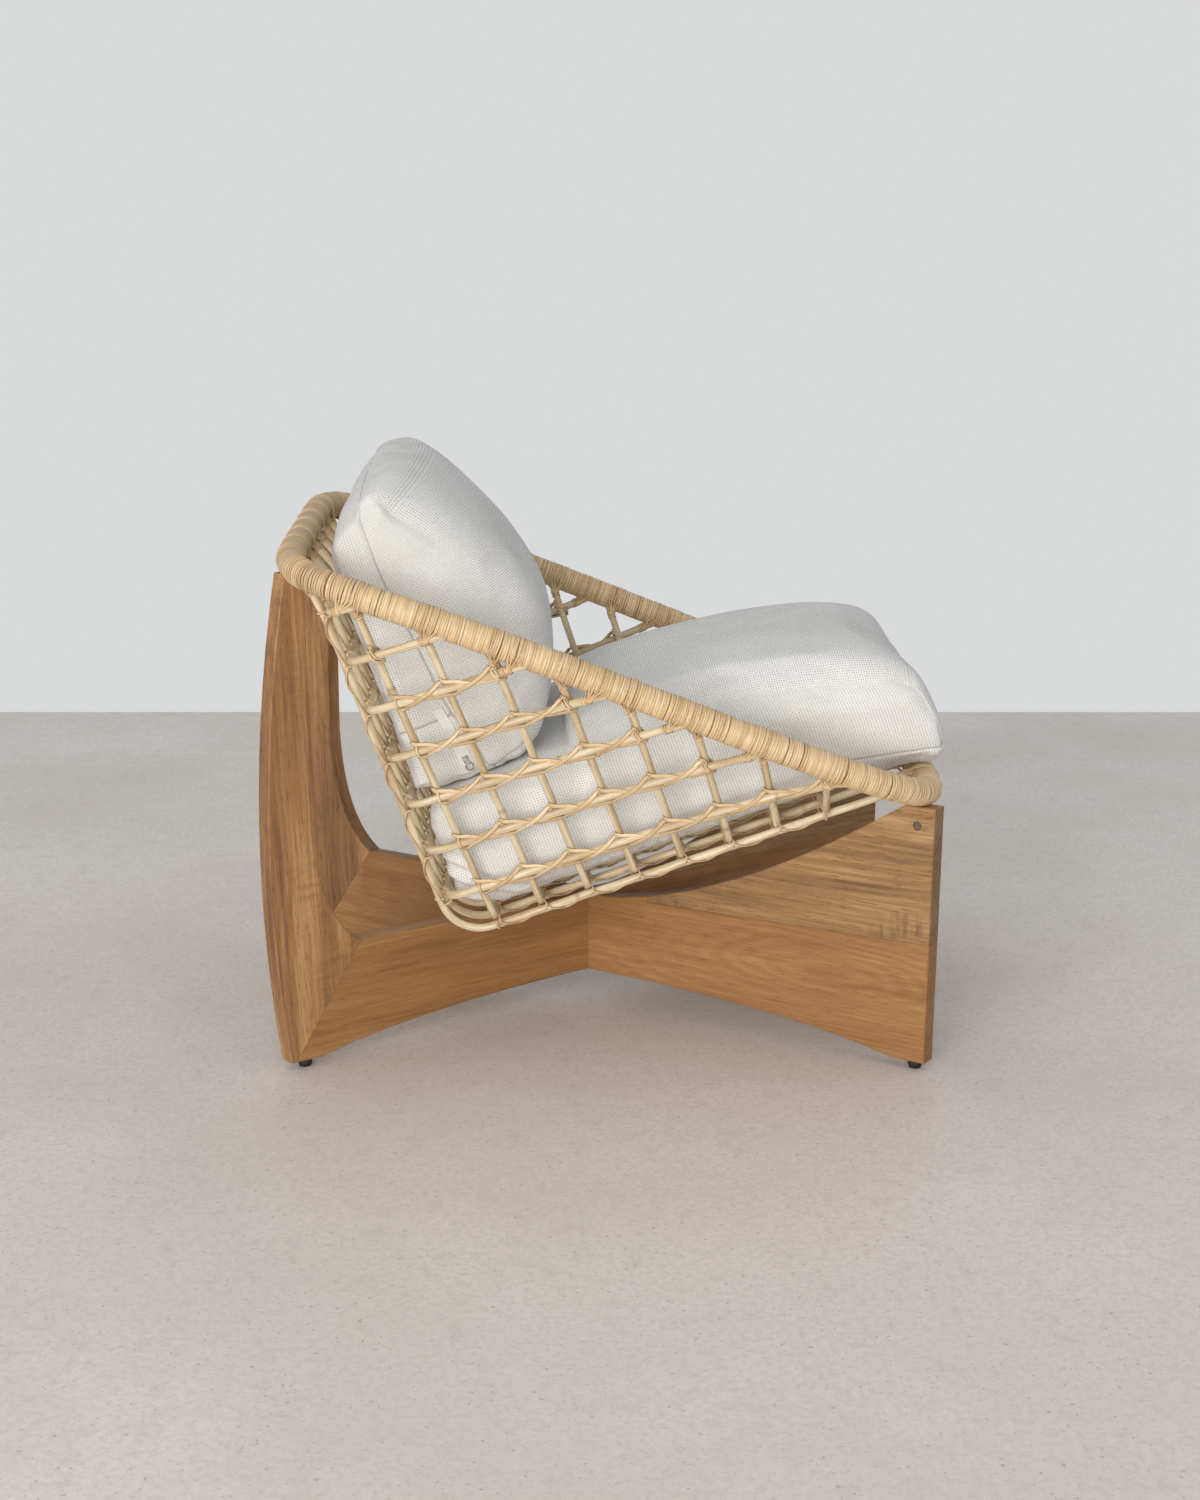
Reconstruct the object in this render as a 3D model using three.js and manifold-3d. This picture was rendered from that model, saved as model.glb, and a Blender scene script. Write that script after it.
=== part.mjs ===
import * as THREE from 'three';
import { mergeVertices } from 'three/addons/utils/BufferGeometryUtils.js';
import Module from 'manifold-3d';

const wasm = await Module();
wasm.setup();

// A low lounge chair: an open cane basket hung in a frame of two crossing wooden panels.
// Sizes are in millimetres. X runs across the chair, -Y is its front and Z is up.
const fitGap = 0.3;

// Crossing panels. "Out" is measured along a panel from the point where the two cross.
const boardThickness = 24;
const edgeEase = 1.2;
const panelTurn = THREE.MathUtils.degToRad(54.67);
const footHeight = 10;
const beamTop = 147;
const footLength = 43.5;
const archHeight = 34.5;
const archStraightness = 180;
const postTopLap = 16.9;
const postTopWidth = 27.5;
const postTopDrop = 12.1;
const postSplay = 7.5;
const postBulge = 26;
const postCurveHeight = 163;
const postCurveReach = 66;
const postCurveLow = 38;
const postCurveIn = 6;
const mitreFootInset = 6.5;
const legTopLap = 23;
const legTopWidth = 41;
const legTopDrop = 16.6;
const legTuck = 6;
const legCurveStart = 40;
const legCurvePullOut = 215;
const legCurvePullUp = 19;
const legTipOut = 100;
const glueRise = 12;

// Hardware in the panels
const glideRadius = 9;
const glideFloorRadius = 7;
const glideTaperHeight = 5;
const glideStemRadius = 3.5;
const glideStemLength = 15;
const rearGlideInset = 25;
const frontGlideInset = 17;
const barrelNutRadius = 5.5;
const barrelNutInset = 1;
const barrelNutDrop = 22.5;
const rimBoltRadius = 3;
const rimBoltBite = 9;
const rimBoltDrop = 4;
const rimDowelRadius = 4;
const rimDowelLength = 40;
const mitreDowelRadius = 5;
const mitreDowelLength = 50;
const mitreDowelShares = [0.32, 0.68];

// Basket: "ahead" runs forward along its floor and "up" runs up its back, square to each other
// from the lowest corner behind the sitter. The whole basket is tipped back. "Foot" is how far ahead
// a hoop stands on the floor, and "head" how far ahead it meets the rim.
const basketTip = THREE.MathUtils.degToRad(19.3);
const basketRear = 168;
const basketDip = 4;
const caneRadius = 5;
const hoopRadius = 4.5;
const longCaneCount = 9;
const rowCount = 7;
const firstRowUp = 62;
const topRowDrop = 63;
const hoopCount = 8;
const firstHoopFoot = 59;
const firstHoopHead = 44;
const lastHoopFootSetback = 131;
const lastHoopHeadSetback = 113;
const floorTuckRear = 118;
const floorTuckFront = 93;
const backTuckTop = 33;
const cornerBend = 47;
const hoopBend = 14;
const rowBend = 25;
const topBend = 120;
const topBendDrop = 66;
const caneSides = 8;

// Rim: one closed loop in a sloping plane, a rounded oblong that widens and arches a little backwards
const rimRadius = 17;
const rimHalfWidth = 333;
const rimFlare = 10.7;
const rimArch = 5;
const rimSway = 12;
const rimBackAhead = -18.5;
const rimBackUp = 509;
const rimFrontAhead = 606;
const rimFrontUp = -6.3;
const rimSquareness = 7.7;
const rimStations = 64;
const rimSides = 12;

// Seat cushion, in the basket's own directions
const seatSideGap = 3.5;
const seatSideSpread = 29;
const seatThickness = 165;
const seatCrown = 22;
const seatCrownRun = 130;
const seatOverhang = 39;

// Back cushion, standing on the seat cushion and leaning on the back
const backSideInset = 10;
const backHeight = 386;
const backDepth = 217;

// Slide fastener in the right-hand side of the back cushion
const zipLength = 76;
const zipTapeWidth = 12;
const zipTapeThickness = 3;
const zipProud = 1.2;
const zipSetback = 67.4;
const zipRise = 60;
const zipLean = THREE.MathUtils.degToRad(9);
const zipSliderLength = 10;
const zipSliderWidth = 7;
const zipSliderThickness = 3;
const zipRingRadius = 4.5;
const zipRingWire = 0.9;

// Colours and finishes
const finishes = {
  postWood: { color: 0x8c5a3b, roughness: 0.55, metalness: 0 },
  beamWood: { color: 0xa86a3c, roughness: 0.55, metalness: 0 },
  legWood: { color: 0x8a5f3f, roughness: 0.55, metalness: 0 },
  dowelWood: { color: 0xc9a878, roughness: 0.7, metalness: 0 },
  rimWrap: { color: 0xc9a468, roughness: 0.5, metalness: 0 },
  cane: { color: 0xa89a80, roughness: 0.55, metalness: 0 },
  cloth: { color: 0xe4ded2, roughness: 0.95, metalness: 0 },
  zipTape: { color: 0xd8d2c6, roughness: 0.9, metalness: 0 },
  darkSteel: { color: 0x4b443d, roughness: 0.45, metalness: 0.9 },
  brightSteel: { color: 0xb5b5b0, roughness: 0.35, metalness: 1 },
  blackPlastic: { color: 0x161616, roughness: 0.6, metalness: 0 },
};

const chair = new THREE.Group();

function addPiece(name, geometry, finish) {
  const shown = geometry.index ? geometry.toNonIndexed() : geometry;
  shown.computeVertexNormals();
  const mesh = new THREE.Mesh(shown, new THREE.MeshStandardMaterial(finishes[finish]));
  mesh.name = name;
  chair.add(mesh);
  return mesh;
}

// Joining and cutting of closed shapes
function toSolid(geometry) {
  const bare = geometry.clone();
  bare.deleteAttribute('normal');
  bare.deleteAttribute('uv');
  const merged = mergeVertices(bare, 1e-4);
  return new wasm.Manifold(new wasm.Mesh({
    numProp: 3,
    vertProperties: Float32Array.from(merged.attributes.position.array),
    triVerts: Uint32Array.from(merged.index.array),
  }));
}

function toGeometry(solid) {
  const mesh = solid.getMesh();
  const geometry = new THREE.BufferGeometry();
  geometry.setAttribute('position', new THREE.BufferAttribute(Float32Array.from(mesh.vertProperties), 3));
  geometry.setIndex(new THREE.BufferAttribute(Uint32Array.from(mesh.triVerts), 1));
  return geometry;
}

/** The first geometry with all the others cut away from it. */
function cutAway(geometry, ...cutters) {
  const solid = cutters.reduce((left, cutter) => left.subtract(toSolid(cutter)), toSolid(geometry));
  return toGeometry(solid);
}

/** What two geometries have in common. */
function common(first, second) {
  return toGeometry(toSolid(first).intersect(toSolid(second)));
}

/** A curve whose stations are its own points, so that a bend gets more of them than a straight. */
class StationLine extends THREE.CatmullRomCurve3 {
  getUtoTmapping(u) {
    return u;
  }
}

/** A round rod along a line of stations. */
function rod(stations, radius, sides, closed = false) {
  const section = new THREE.Shape();
  for (let i = 0; i < sides; i += 1) {
    const angle = (2 * Math.PI * (i + 0.5)) / sides;
    const [x, y] = [radius * Math.cos(angle), radius * Math.sin(angle)];
    if (i === 0) section.moveTo(x, y);
    else section.lineTo(x, y);
  }
  return new THREE.ExtrudeGeometry(section, {
    steps: closed ? stations.length : stations.length - 1,
    extrudePath: new StationLine(stations, closed),
    bevelEnabled: false,
  });
}

/** Straights between corner points, with a round bend of its own radius at each inner corner. */
function bentLine(corners, radii, bendSteps) {
  const stations = [corners[0]];
  for (let i = 1; i < corners.length - 1; i += 1) {
    const back = corners[i - 1].clone().sub(corners[i]).normalize();
    const on = corners[i + 1].clone().sub(corners[i]).normalize();
    const turn = Math.PI - back.angleTo(on);
    const radius = radii[i - 1];
    if (radius === 0) {
      stations.push(corners[i]);
      continue;
    }
    const centre = back.clone().add(on).normalize();
    centre.multiplyScalar(radius / Math.cos(turn / 2)).add(corners[i]);
    const start = back.clone().multiplyScalar(radius * Math.tan(turn / 2)).add(corners[i]).sub(centre);
    const axis = on.clone().cross(back).normalize();
    for (let step = 0; step <= bendSteps; step += 1) {
      const arm = start.clone().applyAxisAngle(axis, (turn * step) / bendSteps);
      stations.push(arm.add(centre));
    }
  }
  stations.push(corners[corners.length - 1]);
  return stations;
}

/** A cylinder from one point to another. */
function pin(from, to, radius, sides = 16) {
  const along = to.clone().sub(from);
  const geometry = new THREE.CylinderGeometry(radius, radius, along.length(), sides);
  const turn = new THREE.Quaternion().setFromUnitVectors(new THREE.Vector3(0, 1, 0), along.normalize());
  geometry.applyQuaternion(turn);
  geometry.translate(...from.clone().add(to).multiplyScalar(0.5));
  return geometry;
}

// Rim, worked out in its own plane: "reach" is the distance from its middle towards the back
const rimSlope = Math.hypot(rimFrontAhead - rimBackAhead, rimBackUp - rimFrontUp);
const rimHalfDepth = rimSlope / 2;
const basketSin = Math.sin(basketTip);
const basketCos = Math.cos(basketTip);
const basketRise = beamTop - basketDip;
const floorHalfWidthRear = rimHalfWidth - floorTuckRear;
const floorHalfWidthFront = rimHalfWidth - floorTuckFront;
const backHalfWidthTop = rimHalfWidth - backTuckTop;

/** A place in the basket's directions, as a point of the chair. */
function inBasket(across, ahead, up) {
  return new THREE.Vector3(
    across,
    basketRear - basketCos * ahead + basketSin * up,
    basketRise + basketSin * ahead + basketCos * up,
  );
}

function rimAhead(reach) {
  return THREE.MathUtils.mapLinear(reach, rimHalfDepth, -rimHalfDepth, rimBackAhead, rimFrontAhead);
}

function rimUp(reach) {
  const share = reach / rimHalfDepth;
  const straight = THREE.MathUtils.mapLinear(reach, rimHalfDepth, -rimHalfDepth, rimBackUp, rimFrontUp);
  return straight + (1 - share ** 2) * (rimArch + rimSway * share);
}

function rimReachAtAhead(ahead) {
  return THREE.MathUtils.mapLinear(ahead, rimBackAhead, rimFrontAhead, rimHalfDepth, -rimHalfDepth);
}

/** Half the rim's width where it is a given reach from its middle. */
function rimWidthAt(reach) {
  const share = Math.min(1, Math.abs(reach) / rimHalfDepth);
  const fullWidth = rimHalfWidth + (rimFlare * reach) / rimHalfDepth;
  return fullWidth * (1 - share ** rimSquareness) ** (1 / rimSquareness);
}

/** The reach of the rim's back bar (end 1) or front bar (end -1) at a distance from the middle. */
function rimReachAcross(across, end) {
  const share = Math.min(1, Math.abs(across) / (rimHalfWidth + end * rimFlare));
  return end * rimHalfDepth * (1 - share ** rimSquareness) ** (1 / rimSquareness);
}

function rimPoint(turn) {
  const power = 2 / rimSquareness;
  const reach = rimHalfDepth * Math.sign(Math.sin(turn)) * Math.abs(Math.sin(turn)) ** power;
  const fullWidth = rimHalfWidth + (rimFlare * reach) / rimHalfDepth;
  const across = fullWidth * Math.sign(Math.cos(turn)) * Math.abs(Math.cos(turn)) ** power;
  return inBasket(across, rimAhead(reach), rimUp(reach));
}

const rimTurns = Array.from({ length: rimStations }, (_, i) => (2 * Math.PI * (i + 0.5)) / rimStations);
const rimLine = rimTurns.map(rimPoint);
const rimBody = rod(rimLine, rimRadius, rimSides, true);
const rimClearance = rod(rimLine, rimRadius + fitGap, rimSides, true);

/** Where the rim's line passes through a panel, seen in that panel, at its rear (1) or front (-1). */
function rimCrossing(end) {
  let inner = (end * Math.PI) / 2;
  let outer = 0;
  for (let halving = 0; halving < 40; halving += 1) {
    const turn = (inner + outer) / 2;
    const point = rimPoint(turn);
    if (point.x * Math.sin(panelTurn) < end * point.y * Math.cos(panelTurn)) inner = turn;
    else outer = turn;
  }
  const point = rimPoint(outer);
  return { out: Math.hypot(point.x, point.y), height: point.z };
}

// Panels: both are one outline, cut into post, beam and leg board along their glue lines. They
// carry the rim, so the tops of their posts and legs follow it.
const rearRim = rimCrossing(1);
const frontRim = rimCrossing(-1);
const postTop = rearRim.height - postTopDrop;
const postTopOuter = rearRim.out + postTopLap;
const postTopInner = postTopOuter - postTopWidth;
const legTop = frontRim.height - legTopDrop;
const legTopOuter = frontRim.out + legTopLap;
const legTopInner = legTopOuter - legTopWidth;
const rearFootOut = postTopOuter + postSplay;
const frontFootOut = legTopOuter - legTuck;
const rearArchOut = rearFootOut - footLength;
const frontArchOut = frontFootOut - footLength;
const mitreFootOut = rearFootOut - mitreFootInset;
const barrelNutHeight = legTop - barrelNutDrop;
const overrun = 2 * legTopOuter;

function panelOutline() {
  const outline = new THREE.Shape();
  const postMiddle = (postTop + footHeight) / 2;
  const bulgePull = (postTopOuter + rearFootOut) / 2 + 2 * postBulge;
  outline.moveTo(postTopOuter, postTop);
  outline.quadraticCurveTo(bulgePull, postMiddle, rearFootOut, footHeight);
  outline.lineTo(rearArchOut, footHeight);
  const archPull = footHeight + (archHeight * 4) / 3;
  outline.bezierCurveTo(
    rearArchOut - archStraightness, archPull,
    archStraightness - frontArchOut, archPull,
    -frontArchOut, footHeight,
  );
  outline.lineTo(-frontFootOut, footHeight);
  outline.lineTo(-legTopOuter, legTop);
  outline.lineTo(-legTopInner, legTop);
  outline.quadraticCurveTo(-legCurvePullOut, beamTop + legCurvePullUp, -legCurveStart, beamTop);
  outline.lineTo(postTopInner - postCurveReach, beamTop);
  outline.quadraticCurveTo(
    postTopInner - postCurveIn, beamTop + postCurveLow,
    postTopInner, beamTop + postCurveHeight,
  );
  outline.lineTo(postTopInner, postTop);
  return outline;
}

/** A board standing on its edge over the line through the crossing, its middle plane on that line. */
function standingBoard(outline, thickness, ease) {
  const geometry = new THREE.ExtrudeGeometry(outline, {
    depth: thickness - 2 * ease,
    bevelEnabled: ease > 0,
    bevelThickness: ease,
    bevelSize: ease,
    bevelOffset: -ease,
    bevelSegments: 1,
    curveSegments: 14,
  });
  geometry.translate(0, 0, ease - thickness / 2);
  geometry.rotateX(Math.PI / 2);
  return geometry;
}

function polygon(points) {
  return new THREE.Shape(points.map(([out, height]) => new THREE.Vector2(out, height)));
}

/** Everything on the post's side of the mitre, drawn back from the joint by a gap. */
function postSide(gap) {
  const top = new THREE.Vector2(postTopInner - postCurveReach, beamTop);
  const foot = new THREE.Vector2(mitreFootOut, footHeight);
  const along = foot.clone().sub(top).normalize();
  const outward = new THREE.Vector2(-along.y, along.x);
  const start = top.clone().addScaledVector(along, -overrun).addScaledVector(outward, gap);
  const end = foot.clone().addScaledVector(along, overrun).addScaledVector(outward, gap);
  const corners = [start, end, end.clone().addScaledVector(outward, overrun),
    start.clone().addScaledVector(outward, overrun)];
  return standingBoard(new THREE.Shape(corners), 2 * boardThickness, 0);
}

function glueHeight(out) {
  return THREE.MathUtils.mapLinear(out, legCurveStart, legTopOuter, beamTop, beamTop + glueRise);
}

/** Everything above the glue line of the leg board, grown by a gap. */
function legSide(gap) {
  const tip = legTipOut - gap;
  return standingBoard(polygon([
    [-tip, glueHeight(tip) - gap],
    [-overrun, glueHeight(overrun) - gap],
    [-overrun, overrun],
    [-tip, overrun],
  ]), 2 * boardThickness, 0);
}

/** The slot that one beam needs for the other, in its upper or its lower half. */
function lapSlot(otherAngle, upper) {
  const middle = (footHeight + archHeight + beamTop) / 2;
  const [low, high] = upper ? [middle - fitGap / 2, overrun] : [-overrun, middle + fitGap / 2];
  const slot = new THREE.BoxGeometry(overrun, boardThickness + 2 * fitGap, high - low);
  slot.translate(0, 0, (low + high) / 2);
  slot.rotateZ(otherAngle);
  return slot;
}

/** A screw-in glide, standing on the floor with its stem up in the foot. */
function glide(grown = 0) {
  const headHeight = footHeight - fitGap;
  const profile = [
    [0, 0],
    [glideFloorRadius + grown, 0],
    [glideRadius + grown, glideTaperHeight],
    [glideRadius + grown, headHeight],
    [glideStemRadius + grown, headHeight],
    [glideStemRadius + grown, footHeight + glideStemLength + grown],
    [0, footHeight + glideStemLength + grown],
  ];
  const geometry = new THREE.LatheGeometry(profile.map(([r, h]) => new THREE.Vector2(r, h)), 20);
  geometry.rotateX(Math.PI / 2);
  return geometry;
}

function buildPanel(rearSide, frontSide, angle, otherAngle, slotUp) {
  const whole = standingBoard(panelOutline(), boardThickness, edgeEase);
  const alongPanel = (out, height, side = 0) => new THREE.Vector3(out, side, height);
  const turned = (geometry) => geometry.rotateZ(angle);

  // Round stock through the joints
  const mitreTop = alongPanel(postTopInner - postCurveReach, beamTop);
  const mitreFoot = alongPanel(mitreFootOut, footHeight);
  const mitreAlong = mitreFoot.clone().sub(mitreTop).normalize();
  const mitreAcross = new THREE.Vector3(-mitreAlong.z, 0, mitreAlong.x);
  const mitreDowels = mitreDowelShares.map((share) => {
    const middle = mitreTop.clone().lerp(mitreFoot, share);
    const arm = mitreAcross.clone().multiplyScalar(mitreDowelLength / 2);
    const hole = mitreAcross.clone().multiplyScalar(mitreDowelLength / 2 + fitGap);
    return {
      body: pin(middle.clone().sub(arm), middle.clone().add(arm), mitreDowelRadius),
      hole: pin(middle.clone().sub(hole), middle.clone().add(hole), mitreDowelRadius + fitGap),
    };
  });
  const rimDowelTop = postTop + rimDowelLength / 2;
  const rimDowelFoot = postTop - rimDowelLength / 2;
  const rimDowel = pin(alongPanel(rearRim.out, rimDowelFoot),
    alongPanel(rearRim.out, rimDowelTop), rimDowelRadius);
  const rimDowelHole = pin(alongPanel(rearRim.out, rimDowelFoot - fitGap),
    alongPanel(rearRim.out, rimDowelTop + fitGap), rimDowelRadius + fitGap);

  const nutHalf = boardThickness / 2 - barrelNutInset;
  const nutBody = pin(alongPanel(-frontRim.out, barrelNutHeight, -nutHalf),
    alongPanel(-frontRim.out, barrelNutHeight, nutHalf), barrelNutRadius);
  const nutHole = pin(alongPanel(-frontRim.out, barrelNutHeight, -boardThickness),
    alongPanel(-frontRim.out, barrelNutHeight, boardThickness), barrelNutRadius + fitGap);
  const boltFoot = barrelNutHeight - rimBoltDrop;
  const boltTop = frontRim.height + rimBoltBite;
  const bolt = pin(alongPanel(-frontRim.out, boltFoot),
    alongPanel(-frontRim.out, boltTop), rimBoltRadius, 12);
  const boltHole = pin(alongPanel(-frontRim.out, boltFoot - fitGap),
    alongPanel(-frontRim.out, boltTop + fitGap), rimBoltRadius + fitGap, 12);

  const rearGlideOut = rearFootOut - rearGlideInset;
  const frontGlideOut = frontFootOut - frontGlideInset;
  const rearGlide = glide().translate(rearGlideOut, 0, 0);
  const frontGlide = glide().translate(-frontGlideOut, 0, 0);

  const dowelHoles = mitreDowels.map((dowel) => dowel.hole);
  const post = cutAway(common(whole, postSide(fitGap / 2)), rimDowelHole, ...dowelHoles);
  const leg = cutAway(common(whole, legSide(0)), nutHole, boltHole);
  const rearGlideHole = glide(fitGap).translate(rearGlideOut, 0, 0);
  const frontGlideHole = glide(fitGap).translate(-frontGlideOut, 0, 0);
  const beam = cutAway(whole, postSide(-fitGap / 2), legSide(fitGap), ...dowelHoles,
    rearGlideHole, frontGlideHole);

  addPiece(`rear_post_${rearSide}`, cutAway(turned(post), rimClearance), 'postWood');
  addPiece(`beam_${rearSide}_rear_to_${frontSide}_front`,
    cutAway(turned(beam), lapSlot(otherAngle, slotUp)), 'beamWood');
  addPiece(`front_leg_board_${frontSide}`, cutAway(turned(leg), rimClearance), 'legWood');
  mitreDowels.forEach((dowel, i) => {
    addPiece(`mitre_dowel_${rearSide}_${i + 1}`, turned(dowel.body), 'dowelWood');
  });
  addPiece(`rim_dowel_${rearSide}`, turned(rimDowel), 'dowelWood');
  addPiece(`barrel_nut_${frontSide}`, turned(cutAway(nutBody, boltHole)), 'darkSteel');
  addPiece(`rim_bolt_${frontSide}`, turned(bolt), 'brightSteel');
  addPiece(`glide_rear_${rearSide}`, turned(rearGlide), 'blackPlastic');
  addPiece(`glide_front_${frontSide}`, turned(frontGlide), 'blackPlastic');
  return [turned(rimDowelHole), turned(boltHole)];
}

const rightAngle = Math.PI - panelTurn;
const leftAngle = panelTurn;
const rimHoles = [
  ...buildPanel('right', 'left', rightAngle, leftAngle, true),
  ...buildPanel('left', 'right', leftAngle, rightAngle, false),
];
addPiece('rim', cutAway(rimBody, ...rimHoles), 'rimWrap');

// Long canes: down the back, round under the corner and forward along the floor to the front rim
function buildLongCanes() {
  const middle = (longCaneCount - 1) / 2;
  for (let i = 0; i < longCaneCount; i += 1) {
    const share = (i - middle) / middle;
    const topAcross = share * backHalfWidthTop;
    const lowAcross = share * floorHalfWidthRear;
    const frontAcross = share * floorHalfWidthFront;
    const backReach = rimReachAcross(topAcross, 1);
    const bendUp = rimUp(backReach) - topBendDrop;
    const bendShare = bendUp / rimBackUp;
    const frontReach = rimReachAcross(frontAcross, -1);
    const stations = bentLine([
      inBasket(topAcross, rimAhead(backReach), rimUp(backReach)),
      inBasket(THREE.MathUtils.lerp(lowAcross, topAcross, bendShare), caneRadius, bendUp),
      inBasket(lowAcross, caneRadius, caneRadius),
      inBasket(frontAcross, rimAhead(frontReach), caneRadius),
    ], [topBend, cornerBend], 6);
    const cane = cutAway(rod(stations, caneRadius, caneSides), rimClearance);
    addPiece(`long_cane_${i + 1}`, cane, 'cane');
  }
}

// Hoops: down one side from the rim, across the floor on top of the long canes and up again
const hoopLevel = 2 * caneRadius + fitGap + hoopRadius;
const lastHoopFoot = rimFrontAhead - lastHoopFootSetback;
const lastHoopHead = rimFrontAhead - lastHoopHeadSetback;

function hoopHead(foot) {
  return THREE.MathUtils.mapLinear(foot, firstHoopFoot, lastHoopFoot, firstHoopHead, lastHoopHead);
}

/** The basket's side between floor and rim, ruled by the straight sides of its hoops. */
function basketSide(foot) {
  const lowAcross = THREE.MathUtils.lerp(floorHalfWidthRear, floorHalfWidthFront, foot / rimFrontAhead);
  const head = hoopHead(foot);
  const highAcross = rimWidthAt(rimReachAtAhead(Math.max(head, firstHoopHead)));
  const height = rimUp(rimReachAtAhead(head));
  return {
    lean: Math.atan2(highAcross - lowAcross, height),
    height,
    at: (share) => [
      THREE.MathUtils.lerp(lowAcross, highAcross, share),
      THREE.MathUtils.lerp(foot, head, share),
      height * share,
    ],
  };
}

function buildHoops() {
  for (let i = 0; i < hoopCount; i += 1) {
    const foot = THREE.MathUtils.lerp(firstHoopFoot, lastHoopFoot, i / (hoopCount - 1));
    const side = basketSide(foot);
    const [headAcross, headAhead, headUp] = side.at(1);
    const [kneeAcross, kneeAhead, kneeUp] = side.at(hoopLevel / side.height);
    const stations = bentLine([
      inBasket(headAcross, headAhead, headUp),
      inBasket(kneeAcross, kneeAhead, kneeUp),
      inBasket(-kneeAcross, kneeAhead, kneeUp),
      inBasket(-headAcross, headAhead, headUp),
    ], [hoopBend, hoopBend], 5);
    const hoop = cutAway(rod(stations, hoopRadius, caneSides), rimClearance);
    addPiece(`hoop_cane_${i + 1}`, hoop, 'cane');
  }
}

// Rows: from the rim back along the outside of the hoops, across the back inside the long canes
const rowOffset = hoopRadius + caneRadius + fitGap;
const rowAhead = 3 * caneRadius + fitGap;
const rowSpacing = (rimBackUp - topRowDrop - firstRowUp) / (rowCount - 1);
const rowSideStations = 7;

/** The foot of the hoop line whose head is level with a height. */
function footUnderHead(height) {
  const reach = THREE.MathUtils.mapLinear(height, rimBackUp, rimFrontUp, rimHalfDepth, -rimHalfDepth);
  const share = (rimAhead(reach) - firstHoopHead) / (lastHoopHead - firstHoopHead);
  return THREE.MathUtils.lerp(firstHoopFoot, lastHoopFoot, share);
}

function rowPlace(foot, up) {
  const side = basketSide(foot);
  const drop = rowOffset * Math.sin(side.lean);
  const [across, ahead] = side.at((up + drop) / side.height);
  return [across + rowOffset * Math.cos(side.lean), ahead];
}

function buildRows() {
  for (let i = 0; i < rowCount; i += 1) {
    const up = firstRowUp + i * rowSpacing;
    const lean = basketSide(footUnderHead(up)).lean;
    const endFoot = footUnderHead(up + rowOffset * Math.sin(lean));
    const sidePlaces = [];
    for (let step = 0; step < rowSideStations; step += 1) {
      const foot = THREE.MathUtils.lerp(endFoot, rowAhead + rowBend, step / rowSideStations);
      sidePlaces.push(rowPlace(foot, up));
    }
    const corner = [rowPlace(rowAhead, up)[0], rowAhead];
    const half = endFoot - rowAhead < 3 * rowBend ? [sidePlaces[0], corner] : [...sidePlaces, corner];
    const right = half.map(([across, ahead]) => inBasket(-across, ahead, up));
    const left = half.map(([across, ahead]) => inBasket(across, ahead, up)).reverse();
    const bends = right.slice(1).map((_, n) => (n === right.length - 2 ? rowBend : 0));
    const stations = bentLine([...right, ...left], [...bends, ...[...bends].reverse()], 6);
    const row = cutAway(rod(stations, caneRadius, caneSides), rimClearance);
    addPiece(`row_cane_${i + 1}`, row, 'cane');
  }
}

buildLongCanes();
buildHoops();
buildRows();

// Cushions: a profile seen from the side, carried across the chair and drawn in towards both ends
const floorTop = hoopLevel + hoopRadius + fitGap;
const wallAhead = rowAhead + caneRadius + fitGap;
const seatTop = floorTop + seatThickness;
const seatWidthLow = 2 * (floorHalfWidthRear - hoopRadius - seatSideGap);
const seatWidthHigh = seatWidthLow + 2 * seatSideSpread;
const backWidth = seatWidthHigh - 2 * backSideInset;
const profileStations = 38;
const drawInShares = [
  [-1, 1], [-0.98, 0.55], [-0.93, 0.28], [-0.8, 0.1], [-0.55, 0.02], [-0.25, 0],
  [0, 0], [0.25, 0], [0.55, 0.02], [0.8, 0.1], [0.93, 0.28], [0.98, 0.55], [1, 1],
];

/** A closed skin over rings of equal length, with a fan at each end. */
function skinOver(rings) {
  const count = rings[0].length;
  const positions = rings.flat().flatMap((point) => point.toArray());
  const index = [];
  for (let r = 0; r + 1 < rings.length; r += 1) {
    for (let i = 0; i < count; i += 1) {
      const next = (i + 1) % count;
      const [a, b] = [r * count + i, r * count + next];
      index.push(a, b, b + count, a, b + count, a + count);
    }
  }
  [0, rings.length - 1].forEach((r) => {
    const centre = rings[r].reduce((sum, point) => sum.add(point), new THREE.Vector3());
    positions.push(...centre.divideScalar(count).toArray());
    const hub = positions.length / 3 - 1;
    for (let i = 0; i < count; i += 1) {
      const [a, b] = [r * count + i, r * count + ((i + 1) % count)];
      if (r === 0) index.push(hub, b, a);
      else index.push(hub, a, b);
    }
  });
  const geometry = new THREE.BufferGeometry();
  geometry.setAttribute('position', new THREE.Float32BufferAttribute(positions, 3));
  geometry.setIndex(index);
  return geometry;
}

/** Evenly spaced points of a closed profile whose corners are shares of its depth and height. */
function profilePoints(cornerShares, rear, foot, depth, height) {
  const line = new THREE.CatmullRomCurve3(
    cornerShares.map(([ahead, up]) => new THREE.Vector3(0, rear + ahead * depth, foot + up * height)),
    true, 'centripetal',
  );
  return line.getSpacedPoints(profileStations).slice(0, profileStations);
}

/** The profile repeated across, drawn towards an anchor point by the cushion's own end shares. */
function cushionRings(profile, anchorShare, endShares, place) {
  const bounds = new THREE.Box3().setFromPoints(profile);
  const anchorAhead = THREE.MathUtils.lerp(bounds.min.y, bounds.max.y, anchorShare);
  const anchorUp = (bounds.min.z + bounds.max.z) / 2;
  return drawInShares.map(([across, drawn]) => profile.map((point) => place(
    across,
    THREE.MathUtils.lerp(point.y, anchorAhead, drawn * endShares[0]),
    THREE.MathUtils.lerp(point.z, anchorUp, drawn * endShares[1]),
  )));
}

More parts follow.
